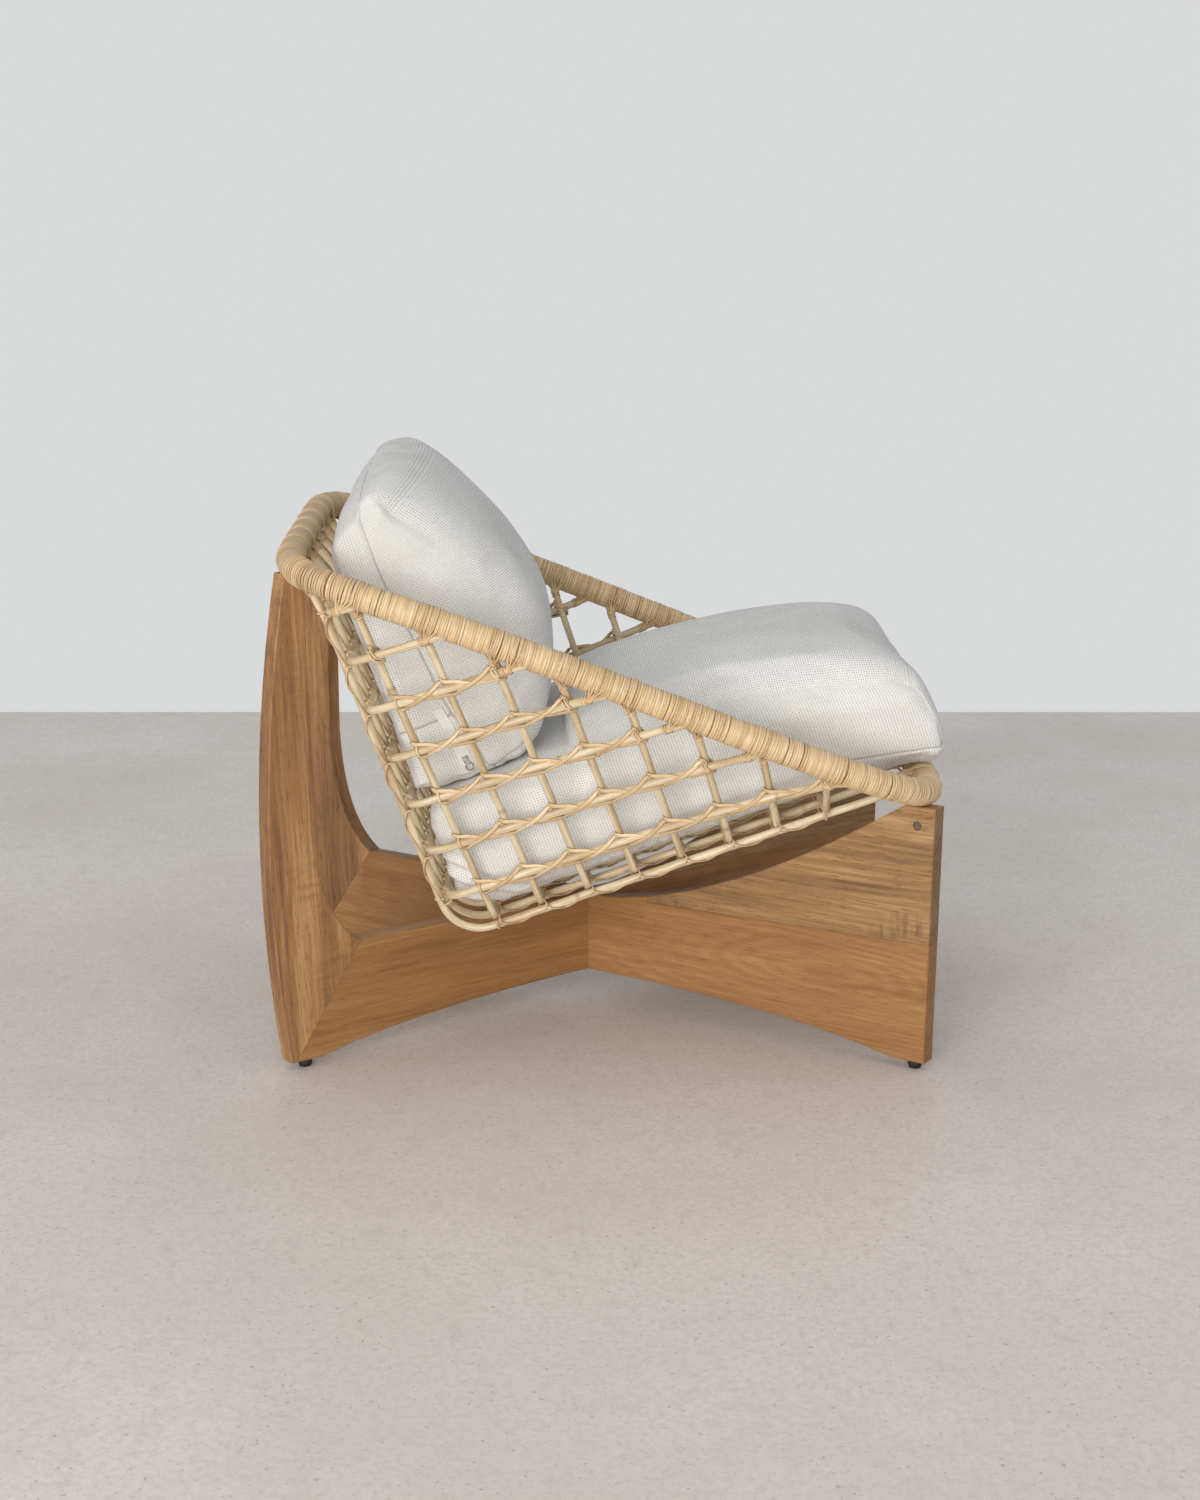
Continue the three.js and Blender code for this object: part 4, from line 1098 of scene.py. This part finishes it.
def rim_tie(surface, line, cane_radius, seed):
    """A line in metres ends at the rim. The collar is a helix about it. Each sling lies in a plane
    square to the rim: from the collar's face straight to the rim, round it and back."""
    random = np.random.default_rng(seed)
    line = line[len(line) // 2:]
    far = np.linalg.norm(line[:, None] - rim_dense[None, ::8], axis=-1).min(1)
    close = int(np.argmax(far < COLLAR_AT * MM))
    knot = line[close]
    on = unit(line[min(close + AIM_STATIONS, len(line) - 1)] - line[close - AIM_STATIONS])
    foot, end = nearest(rim_dense, knot), nearest(rim_dense, line[-1])
    half_way = (np.mod(end - foot + rim_total / 2, rim_total) - rim_total / 2) / 2
    here, rim_on, _, _ = rim_places(np.array([foot + half_way]))
    here, rim_on = here[0], rim_on[0]
    down = knot - here
    down = unit(down - rim_on * (down @ rim_on))
    out = unit(np.cross(rim_on, down))
    depth = (knot - here) @ down / MM
    slide = (knot - here) @ rim_on / MM
    turn = np.linspace(0, FULL_TURN * COLLAR_TURNS, COLLAR_POINTS)
    side = unit(np.cross(on, out))
    lift = np.cross(on, side)
    spokes = np.cos(turn)[:, None] * side + np.sin(turn)[:, None] * lift
    climb = on * ((turn / turn[-1] - 0.5) * COLLAR_LENGTH * MM)[:, None]
    helix = knot + spokes * (cane_radius + COLLAR_OUT) * MM + climb
    flat_split(surface, helix, spokes, SPLIT_WIDTH, SPLIT_THICKNESS, random.uniform(0, 0.1))
    angle = np.radians(SLING_ANGLES)
    round_rim = np.stack([np.cos(angle) * SLING_RADIUS, np.sin(angle) * SLING_RADIUS], -1)
    face = cane_radius + FACE_OUT
    start = np.array([(depth + lower, face + further) for lower, further in SLING_ENDS])
    path = np.concatenate([start, round_rim, start[::-1] * (1, -1)])
    reach = np.concatenate([END_REACHES, np.ones(len(angle)), END_REACHES[::-1]])
    for shift in SLING_SHIFTS[:random.integers(*SLING_COUNTS)]:
        shift = shift + random.uniform(-SLING_STRAY, SLING_STRAY)
        across = slide * (1 - reach) + (slide * SLIDE_KEPT + shift) * reach
        points = here + MM * (path[:, :1] * down + path[:, 1:] * out + across[:, None] * rim_on)
        middle = here + MM * (np.minimum(path[:, :1], depth) * 0.5 * down + across[:, None] * rim_on)
        flat_split(surface, smoothly(points, 3), unit(smoothly(points - middle, 3)),
                   SPLIT_WIDTH * random.uniform(0.8, 1.0), SPLIT_THICKNESS, random.uniform(0, 0.2))


def tie_to_rim():
    """Both ends of every cane are tied to the rim."""
    surface = Surface()
    for _, lines, radius, _, _ in CANE_KINDS:
        for line in lines:
            dense = evenly(in_basket(line), LINE_STEP * MM)
            for towards_end in (dense, dense[::-1]):
                rim_tie(surface, towards_end, radius, TIE_SEED + surface.count)
    finish_lashing(surface, "rim_ties")


lash_rows()
lash_long_canes()
tie_to_rim()

# Floor, light and backdrop
WALL_FROM_CAMERA = 4.983
FLOOR_REACH = 30.0
# the strength of the surrounding light at the horizon and overhead
AMBIENT_LEVELS = (0.42, 0.74)
KEY_AT = (-5.5, 1.6, 0.75)
KEY_AIM = (0, 0, 0.35)
KEY_SIZE = 4.2
KEY_POWER = 345


def floor_material():
    """Polished concrete: a cloud of two tones, long faint scratches, and small dark specks."""
    material = new_material("pale_floor")
    n = Nodes(material.node_tree)
    place = n.add("ShaderNodeTexCoord").outputs["Object"]
    cloud = n.noise(place, 1.8, 5.0, 0.6)
    mottle = n.noise(n.mapped(place, move=(3, 1, 0)), 34.0, 4.0, 0.65)
    scratch = n.noise(n.mapped(place, (60, 3, 1), turn=(0, 0, 0.4)), 1.0, 3.0)
    grit = n.noise(n.mapped(place, move=(4, 8, 0)), 120.0, 4.0, 0.7)
    speck = n.noise(n.mapped(place, move=(7, 2, 0)), 160.0, 2.0)
    colour = n.mix(n.span(cloud, 0.3, 0.7), rgb("e6ded7"), rgb("dad2ca"))
    colour = n.over(colour, rgb("c8bfb7"), mottle, 0.45, 0.75, 0.4)
    colour = n.over(colour, rgb("c9c1b9"), grit, 0.4, 0.66, 0.5)
    colour = n.over(colour, rgb("e0dad3"), scratch, 0.5, 0.72, 0.25)
    colour = n.over(colour, rgb("8a8178"), speck, 0.64, 0.72, 0.5)
    principled(n, colour, n.span(cloud, 0.3, 0.7, 0.42, 0.6), mottle, 0.05, 0.001)
    return material


def floor():
    """A level sheet that ends in a straight line square to the camera, where the wall begins."""
    ahead = np.array([math.cos(CAMERA_TURN), -math.sin(CAMERA_TURN), 0])
    side = np.array([math.sin(CAMERA_TURN), math.cos(CAMERA_TURN), 0])
    base = np.array([CAMERA_AT[0], CAMERA_AT[1], 0])
    far, near = base + ahead * WALL_FROM_CAMERA, base - ahead * FLOOR_REACH
    corners = [near - side * FLOOR_REACH, far - side * FLOOR_REACH, far + side * FLOOR_REACH,
               near + side * FLOOR_REACH]
    mesh = bpy.data.meshes.new("floor")
    mesh.from_pydata([tuple(corner) for corner in corners], [], [(0, 1, 2, 3)])
    thing = bpy.data.objects.new("floor", mesh)
    scene.collection.objects.link(thing)
    mesh.materials.append(floor_material())


def backdrop():
    """The world lights the scene softly, more from overhead than from the walls; seen directly or in
    a gloss it is the pale wall."""
    world = bpy.data.worlds.new("world")
    scene.world = world
    world.use_nodes = True
    world.node_tree.nodes.clear()
    w = Nodes(world.node_tree)
    paths = w.add("ShaderNodeLightPath").outputs
    seen = w.math("MAXIMUM", w.math("MAXIMUM", paths["Is Camera Ray"], paths["Is Glossy Ray"]),
                  paths["Is Transmission Ray"])
    height = w.part(w.add("ShaderNodeTexCoord").outputs["Generated"], 2)
    strength = w.span(height, 0.0, 0.8, *AMBIENT_LEVELS)
    ambient = w.add("ShaderNodeBackground", {0: rgb("eef0f3"), 1: strength})
    wall = w.add("ShaderNodeBackground", {0: rgb("d9dadb"), 1: 1.0})
    chosen = w.add("ShaderNodeMixShader", {0: seen, 1: ambient.outputs[0], 2: wall.outputs[0]})
    w.tree.links.new(chosen.outputs[0], w.add("ShaderNodeOutputWorld").inputs[0])


def soft_light(name, at, aim, size, power, colour):
    """A round lamp at one place, aimed at another."""
    data = bpy.data.lights.new(name, "AREA")
    data.shape = "DISK"
    data.size = size
    data.energy = power
    data.color = colour
    lamp = bpy.data.objects.new(name, data)
    scene.collection.objects.link(lamp)
    lamp.location = at
    lamp.rotation_euler = (Vector(aim) - Vector(at)).to_track_quat("-Z", "Y").to_euler()


floor()
backdrop()
soft_light("key", KEY_AT, KEY_AIM, KEY_SIZE, KEY_POWER, (1.0, 0.985, 0.965))
scene.view_settings.view_transform = "Standard"

# Cushions: closed covers laid out on a box lattice, blown up as cloth, then drawn in at seams. The
# spare cloth is a share of its length, and the pressure is what the cloth simulation calls it.
CLOTH_CELL = 6.0
SWELL_FRAMES = 20
SWELL_PRESSURE = 4.0
SWELL_LIMIT = 6.5
SPARE_CLOTH = 0.006
# how firmly the points beside a seam are held, where 1 is fixed
HALF_HELD = 0.35
EVENING_PASSES = 4
# on the cloth, seams get a grey painted shade, and seams under a flap a darker painted shadow
# what a point can be: on a seam, on a seam under a flap, or on a fold that is only held
SEAM = 1.0
FLAP_SEAM = 2.0
HELD_FOLD = 0.2
SEAM_DRAW = 2.6
SEAM_REACH = 7.0
SEAM_STEPS = 8
PUCKER = 0.8
PUCKER_SIZE = 22
PUCKER_REACHES = (6, 20)
SLACK = 0.8
SLACK_SIZE = 130
CLEAR = 1.2
HAIR = 1e-6
# the room inside the basket: its floor, its back, and its sides that lean outwards
FLOOR_TOP = HOOP_LEVEL + HOOP_RADIUS + FIT
WALL_AHEAD = ROW_AHEAD + CANE_RADIUS + FIT
SEAT_THICKNESS = 165.0
SEAT_TOP = FLOOR_TOP + SEAT_THICKNESS
SIDE_GAP = 3.5
SIDE_LEAN = 29.0
SEAT_HALF_LOW = FLOOR_HALF_WIDTHS[0] - HOOP_RADIUS - SIDE_GAP
SEAT_HALF_HIGH = SEAT_HALF_LOW + SIDE_LEAN
BACK_GAP = 10.0
BACK_HALF = SEAT_HALF_HIGH - BACK_GAP


def shell(counts):
    """The surface points of a box lattice as shares 0 to 1 of its three directions, its four-sided
    faces, and for each face the direction it looks along. The three directions of the basket make
    a left-handed set, so faces that look outwards in space run the other way round in the lattice."""
    n = np.array(counts)
    index, faces, looks = [], [], []
    for axis in range(3):
        one, two = [(axis + 1) % 3, (axis + 2) % 3]
        for end in (0, 1):
            cells = np.zeros((n[one] + 1, n[two] + 1, 3), int)
            cells[..., one] = np.arange(n[one] + 1)[:, None]
            cells[..., two] = np.arange(n[two] + 1)[None, :]
            cells[..., axis] = end * n[axis]
            ids = (cells[..., 0] * (n[1] + 1) + cells[..., 1]) * (n[2] + 1) + cells[..., 2]
            index.append(ids.ravel())
            face = np.stack([ids[:-1, :-1], ids[1:, :-1], ids[1:, 1:], ids[:-1, 1:]], -1).reshape(-1, 4)
            faces.append(face[:, ::-1] if end else face)
            looks.append(np.full(len(face), axis))
    used = np.unique(np.concatenate(index))
    k = used % (n[2] + 1)
    j = used // (n[2] + 1) % (n[1] + 1)
    i = used // ((n[2] + 1) * (n[1] + 1))
    faces = np.searchsorted(used, np.concatenate(faces))
    return np.stack([i, j, k], -1) / n, faces, np.concatenate(looks)


def lattice_edges(faces):
    """The two ends of every face's edges; an edge that two faces share comes once each way."""
    return np.concatenate([faces[:, [k, (k + 1) % 4]] for k in range(4)])


def read_off(table, value):
    """A value read off a table of stops, straight between them."""
    return np.interp(value, list(table), list(table.values()))


def closed_profile(stops):
    """A smooth closed line through stops (turn, ahead, up): the turn goes 0 to 1 along the bottom,
    to 2 up the front, to 3 back along the top and to 4 down the rear."""
    p = np.array(stops, float)
    whole = np.array([4.0, 0, 0])
    line = smoothly(np.concatenate([p[-2:] - whole, p, p[:2] + whole]), 12)
    return line[np.argsort(line[:, 0], kind="stable")]


def profile_at(profile, turn):
    return np.stack([np.interp(turn, profile[:, 0], profile[:, k]) for k in (1, 2)], -1)


def seam_moved(value, line, wanted):
    """Shares 0 to 1 with the lattice line at one share moved to the wanted share."""
    return np.where(value < line, value * wanted / line, 1 - (1 - value) * (1 - wanted) / (1 - line))


def cover_form(profile, counts, half_width, edge_radius, moved):
    """Where each lattice point goes, in mm. In the middle plane a point is blended from the four
    sides of the profile (a Coons patch); across, the cover ends in side panels at the half width,
    and each edge round a panel is an arc: a point of the band at share t past the arc's start, or
    of the panel at share t short of its edge, turns by the arc tangent of t.
    Returns the points, the flat layout for the weave, faces, looks and shares."""
    share, faces, looks = shell(counts)
    a = share[:, 0]
    b, c = moved(share[:, 1], share[:, 2])
    bottom, front = profile_at(profile, b), profile_at(profile, 1 + c)
    top, rear = profile_at(profile, 3 - b), profile_at(profile, 4 - c)
    corner = [profile_at(profile, t)[None] for t in (0.0, 1.0, 2.0, 3.0)]
    bb, cc = b[:, None], c[:, None]
    flat = ((1 - cc) * bottom + cc * top + (1 - bb) * rear + bb * front
            - (1 - bb) * (1 - cc) * corner[0] - bb * (1 - cc) * corner[1]
            - bb * cc * corner[2] - (1 - bb) * cc * corner[3])
    edge = profile[(profile[:, 0] >= 0) & (profile[:, 0] < 4)]
    gap = np.linalg.norm(flat[:, None] - edge[None, :, 1:], axis=-1)
    closest = gap.argmin(1)
    distance = gap[np.arange(len(flat)), closest]
    tangent = np.gradient(edge[:, 1:], axis=0)[closest]
    inward = unit(np.stack([-tangent[:, 1], tangent[:, 0]], -1))
    radius = edge_radius(edge[closest, 0])
    sign = np.sign(a - 0.5)
    panel = (a == 0) | (a == 1)
    half = half_width(flat)
    v = np.abs(2 * a - 1) * half
    band_turn = np.arctan(np.clip((v - (half - radius)) / radius, 0, None))
    panel_share = np.clip((radius - distance) / radius, 0, None)
    panel_turn = np.arctan(panel_share)
    inset = np.where(panel, radius * (panel_share - np.sin(panel_turn)),
                     radius * (1 - np.cos(band_turn)))
    on_panel = half - radius + radius * np.where(panel_share > 0, np.cos(panel_turn), 1.0)
    on_band = np.where(band_turn > 0, half - radius + radius * np.sin(band_turn), v)
    across = np.where(panel, on_panel, on_band)
    place = flat + inward * inset[:, None]
    points = np.concatenate([(sign * across)[:, None], place], -1)
    layout = np.concatenate([(sign * v)[:, None], flat], -1)
    return points, layout, faces, looks, share


def weave_layout(layout, faces, looks):
    """The weave's place at each face corner: the two flat directions of the side that it is on."""
    at = layout[faces]
    pairs = {0: (1, 2), 1: (0, 2), 2: (0, 1)}
    uv = np.zeros((*faces.shape, 2))
    for axis, pair in pairs.items():
        uv[looks == axis] = at[looks == axis][..., list(pair)]
    return uv.reshape(-1, 2) * MM


def point_normals(points, faces):
    """Outward directions: the sum of the crossed diagonals of the faces round each point."""
    p = points[faces]
    cross = np.cross(p[:, 3] - p[:, 1], p[:, 2] - p[:, 0])
    return unit(np.stack([np.bincount(faces.ravel(), np.repeat(way, 4), len(points))
                          for way in cross.T], -1))


def evened(values, faces, passes):
    """Values at the points, each mixed half and half with the mean of its neighbours, a few times."""
    first, second = lattice_edges(faces).T
    count = np.bincount(first, minlength=len(values))[:, None]
    for _ in range(passes):
        total = np.stack([np.bincount(first, way[second], len(values)) for way in values.T], -1)
        values = 0.5 * values + 0.5 * total / count
    return values


def swollen(points, faces, held, spare):
    """The points after the cover has been blown up as cloth: its seams stay where they are, the
    cloth has a little spare length, and no point moves further than the limit."""
    thing = mesh_object("swelling", cloth, in_basket(points), faces, np.zeros((0, 3), int),
                        np.zeros((len(points), 2)), {})
    grip = thing.vertex_groups.new(name="held")
    for weight in (1.0, HALF_HELD):
        chosen = np.flatnonzero(np.isclose(held, weight))
        grip.add(chosen.tolist(), weight, "REPLACE")
    modifier = thing.modifiers.new("cloth", "CLOTH")
    settings = modifier.settings
    settings.quality = 5
    settings.mass = 0.2
    settings.air_damping = 4.0
    settings.tension_stiffness = settings.compression_stiffness = 12
    settings.shear_stiffness = 6
    settings.bending_stiffness = 2.0
    settings.use_pressure = True
    settings.uniform_pressure_force = SWELL_PRESSURE
    settings.vertex_group_mass = "held"
    settings.shrink_min = -spare
    settings.effector_weights.gravity = 0
    modifier.point_cache.frame_start = 1
    modifier.point_cache.frame_end = SWELL_FRAMES
    for step in range(1, SWELL_FRAMES + 1):
        scene.frame_set(step)
    shape = thing.evaluated_get(bpy.context.evaluated_depsgraph_get()).data
    moved = np.empty(len(points) * 3, np.float32)
    shape.vertices.foreach_get("co", moved)
    moved = moved.reshape(-1, 3).astype(float) - in_basket(points)
    bpy.data.objects.remove(thing)
    scene.frame_set(1)
    back = np.stack([moved @ way for way in (ACROSS_WAY, AHEAD_WAY, UP_WAY)], -1) / MM
    back = evened(back, faces, EVENING_PASSES)
    far = np.linalg.norm(back, axis=-1, keepdims=True)
    return points + back * np.minimum(1, SWELL_LIMIT / np.maximum(far, 1e-9))


def steps_from(faces, start, most):
    """For each point, how many lattice edges it is from the marked ones, up to a most."""
    steps = np.where(start, 0, most)
    first, second = lattice_edges(faces).T
    for _ in range(most):
        np.minimum.at(steps, first, steps[second] + 1)
    return steps


def soft_noise(points, size, seed):
    """Smooth noise from -1 to 1: the mean of ten plane waves in seeded directions, about size long."""
    random = np.random.default_rng(seed)
    ways = unit(random.normal(size=(10, 3))) * random.uniform(0.7, 1.5, (10, 1)) * FULL_TURN / size
    return np.cos(points @ ways.T + random.uniform(0, FULL_TURN, 10)).mean(1) * 2.2


def cushion(name, node, body, form, seams, seed, keep_clear, wrinkle):
    """One cover: the blown-up form, drawn in along its seams with small puckers beside them,
    wrinkled where asked, and kept clear of what it lies on."""
    points, layout, faces, looks, share = form
    depth = seams(share)
    steps = steps_from(faces, depth > 0, 2)
    held = np.where(steps == 0, 1.0, np.where(steps == 1, HALF_HELD, 0))
    points = swollen(points, faces, held, SPARE_CLOTH)
    normal = point_normals(points, faces)
    away = steps_from(faces, depth >= SEAM, SEAM_STEPS) * CLOTH_CELL
    draw = SEAM_DRAW * bell(away, SEAM_REACH) * (1 + (depth == FLAP_SEAM))
    near = bell(away, PUCKER_REACHES[1]) * (1 - bell(away, PUCKER_REACHES[0]))
    pucker = PUCKER * near * soft_noise(points, PUCKER_SIZE, seed)
    slack = SLACK * soft_noise(points, SLACK_SIZE, seed + 1)
    points = points + normal * (pucker + slack - draw + wrinkle(points))[:, None]
    points = keep_clear(points)
    thing = mesh_object(name, cloth, in_basket(points), faces, np.zeros((0, 3), int),
                        weave_layout(layout, faces, looks), {"seam": depth})
    smooth = thing.modifiers.new("smooth", "SUBSURF")
    smooth.levels = smooth.render_levels = 1
    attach(thing, body)
    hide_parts(node)


# Each cushion's middle outline, as stops of turn, ahead and up. The seat's runs along the floor, up
# its rounded front, back over the crown, and down behind where the back cushion stands on it.
SEAT_STOPS = [
    (0.0, 34, 38), (0.03, 52, 29), (0.1, 85, 23), (0.25, 170, 20.8), (0.6, 390, 20.8),
    (0.9, 575, 19), (0.97, 612, 14), (1.0, 626, 13), (1.12, 640, 25), (1.3, 645, 50),
    (1.6, 645, 90), (1.85, 641, 126), (2.0, 630, 144), (2.05, 606, 159), (2.15, 545, 177),
    (2.3, 455, 196), (2.45, 365, 207), (2.58, 290, 210), (2.67, 236, 203), (2.72, 210, 191),
    (2.77, 188, 185), (2.85, 130, 184), (2.97, 52, 183), (3.0, 34, 176), (3.12, 23, 150),
    (3.5, 21.8, 90), (3.88, 23, 52),
]
SEAT_COUNTS = (78, 106, 30)
# the radius of the edge round a side panel at turns of the outline
SEAT_EDGES = {0: 30, 0.1: 28, 0.9: 26, 1.0: 22, 1.45: 18, 1.8: 30, 2.05: 46, 2.6: 46, 2.8: 36,
              3.0: 30, 3.5: 24, 4.0: 30}
# the lattice line that becomes the side seam, and the height share that it has from rear to front
SEAT_SEAM_SHARE = 0.5
SEAT_SEAM = {0: 0.5, 0.3: 0.47, 0.78: 0.29, 0.93: 0.2, 1: 0.21}
SEAT_SEAM_FROM = 0.7
SEAT_CORNER_TO = 0.66
# the back cushion stands on the seat up to here; further on the seat's top is free to rise
BACK_STANDS_TO = 215
OPEN_TOP = 400
# the front part begins here: it may sag below the floor's level, and it is hollow across
FRONT_FROM = 560
FRONT_SAG = 9
FRONT_HOLLOW = 7
CROWN = 4
CROWN_FALL = 23
CRUMPLE = 5


def seat_half_width(flat):
    """Half the seat's width, which follows the lean of the basket's sides."""
    return SEAT_HALF_LOW + SIDE_LEAN * ramp(flat[:, 1], FLOOR_TOP, SEAT_TOP - FLOOR_TOP)


def seat_seams(share):
    """Seams run round the front at half height, and up both front corners."""
    a, b, c = share.T
    panel = (a == 0) | (a == 1)
    side = (panel | (b == 1)) & (b > SEAT_SEAM_FROM) & (np.abs(c - SEAT_SEAM_SHARE) < HAIR)
    return SEAM * (side | (panel & (b == 1) & (c < SEAT_CORNER_TO)))


def seat_kept_clear(points):
    """The seat stays above the hoops, before the back rows, inside the sides and below the back
    cushion. In front of the last hoop it may hang lower."""
    across, ahead, up = points.T
    low = FLOOR_TOP + CLEAR - FRONT_SAG * ramp(ahead, FRONT_FROM, 60)
    top = np.where(ahead < BACK_STANDS_TO, SEAT_TOP - 0.4, OPEN_TOP)
    wide = seat_half_width(points[:, 1:]) + 1.5
    return np.stack([np.clip(across, -wide, wide), np.maximum(ahead, WALL_AHEAD + CLEAR),
                     np.clip(up, low, top)], -1)


def seat_wrinkles(points):
    """The lower rear corners are crumpled: folds that wander under a bell about each corner."""
    across, ahead, up = points.T
    corner = bell(ahead - 22, 75) * bell(up - 60, 70) * bell(np.abs(across) - 205, 60)
    return CRUMPLE * corner * np.sin(0.19 * (ahead + 1.5 * up) + 1.4 * soft_noise(points, 60, 8))


def seat_cushion():
    """The cover of the cushion that is sat on, wide in front and as thick as the basket is deep."""
    def moved(b, c):
        return b, seam_moved(c, SEAT_SEAM_SHARE, read_off(SEAT_SEAM, b))

    points, *rest = cover_form(closed_profile(SEAT_STOPS), SEAT_COUNTS, seat_half_width,
                               lambda turn: read_off(SEAT_EDGES, turn), moved)
    a, b, c = rest[-1].T
    # the front is hollow between its corners, and the top is crowned and falls to both sides
    reach = np.abs(2 * a - 1)
    crown = (CROWN - CROWN_FALL * reach ** 4) * ramp(points[:, 1], 222, 80) * c
    pull = FRONT_HOLLOW * (1 - reach ** 2) * ramp(points[:, 1], FRONT_FROM, 80)
    points = points + np.stack([0 * a, -pull, crown], -1)
    cushion("seat_cushion_cover", "seat_cushion", "loose_seat_cushion", (points, *rest), seat_seams,
            21, seat_kept_clear, seat_wrinkles)


# The back cushion's outline: along its foot, up the full front, over the narrow top and down the rear
BACK_STOPS = [
    (0.0, 30, 190), (0.35, 122, 187), (0.8, 172, 196), (1.0, 198, 226), (1.15, 221, 270),
    (1.33, 234, 318), (1.5, 235, 362), (1.7, 216, 424), (1.88, 190, 491), (2.0, 161, 543),
    (2.12, 143, 564), (2.35, 119, 570), (2.6, 94, 565), (2.72, 84, 558), (2.86, 62, 545),
    (3.0, 38, 528), (3.09, 31, 503), (3.3, 24, 430), (3.6, 21.8, 330), (3.9, 22, 215),
]
BACK_COUNTS = (76, 40, 68)
BACK_EDGES = {0: 26, 0.35: 26, 1.0: 55, 1.3: 88, 1.85: 70, 2.05: 18, 2.3: 7, 2.9: 7, 3.1: 11,
              3.6: 28, 4.0: 26}
# the lattice line that becomes the side seam, and the depth share that it has from foot to top
BACK_SEAM_SHARE = 0.35
BACK_SEAM = {0: 0.35, 0.27: 0.255, 0.66: 0.21, 0.8: 0.215, 0.93: 0.25, 1: 0.3}
# the height share at which the short seam over the zip crosses a side panel
ZIP_SEAM_SHARE = 16 / BACK_COUNTS[2]
LOW_SEAM_TO = 0.8
FOLD_TO = 0.9
FOLD_FROM = 0.8
# the basket goes on widening beside the back cushion up to this height above the seat
WIDENS_FOR = 150
TOP_FROM = 430
# how far the front and the upper front fall back at the sides, and the top sinks right and left
FRONT_FALL = 34
TOP_FALL = 30
TOP_SINKS = (25, 9)
FOOT_FOLDS = 1.6


def back_seams(share):
    """The side seam goes all round, under a flap along the top. Seams run along the feet of both
    panels and across the sitter's right one over the zip, and their upper edges are held folds."""
    a, b, c = share.T
    panel = (a == 0) | (a == 1)
    ring = (panel | (c == 0) | (c == 1)) & (np.abs(b - BACK_SEAM_SHARE) < HAIR)
    low = panel & (c == 0) & (b < LOW_SEAM_TO)
    cross = (a == 0) & (b < BACK_SEAM_SHARE) & (np.abs(c - ZIP_SEAM_SHARE) < HAIR)
    fold = panel & (((c == 1) & (b < FOLD_TO)) | ((b == 0) & (c > FOLD_FROM)))
    plain = np.where(ring | low | cross, SEAM, np.where(fold, HELD_FOLD, 0))
    return np.where(ring & (c == 1), FLAP_SEAM, plain)


def back_kept_clear(points):
    """The back cushion stays inside the sides, before the back rows and on the seat."""
    across, ahead, up = points.T
    wide = SEAT_HALF_HIGH + SIDE_LEAN * np.clip(up - SEAT_TOP, 0, WIDENS_FOR) / SEAT_THICKNESS
    return np.stack([np.clip(across, -wide, wide), np.maximum(ahead, WALL_AHEAD + CLEAR),
                     np.maximum(up, SEAT_TOP + 0.6)], -1)


def back_wrinkles(points):
    """Small folds near the lower corners, where the cushion rests."""
    across, ahead, up = points.T
    low = bell(up - 190, 60) * bell(np.abs(across) - 220, 70)
    return FOOT_FOLDS * low * np.sin(0.16 * (ahead * 1.2 - up * 0.5) + 1.2 * soft_noise(points, 70, 9))


def back_cushion():
    """The cover of the cushion behind the sitter, which stands on the seat and leans on the rows."""
    def moved(b, c):
        return seam_moved(b, BACK_SEAM_SHARE, read_off(BACK_SEAM, c)), c

    points, *rest = cover_form(closed_profile(BACK_STOPS), BACK_COUNTS,
                               lambda flat: np.full(len(flat), BACK_HALF),
                               lambda turn: read_off(BACK_EDGES, turn), moved)
    a, b, c = rest[-1].T
    _, ahead, up = points.T
    reach = np.abs(2 * a - 1)
    # towards the sides the front falls back and the top sinks, more on the sitter's right
    back = FRONT_FALL * reach ** 4 * ramp(ahead, 60, 180) * ramp(up, 200, 100)
    back = back + TOP_FALL * reach ** 3 * ramp(ahead, 70, 90) * ramp(up, TOP_FROM, 110)
    sink = np.where(a < 0.5, *TOP_SINKS) * reach ** 3 * ramp(up, TOP_FROM, 120)
    points = points - np.stack([0 * a, back, sink], -1)
    cushion("back_cushion_cover", "back_cushion", "loose_back_cushion", (points, *rest), back_seams,
            31, back_kept_clear, back_wrinkles)


seat_cushion()
back_cushion()
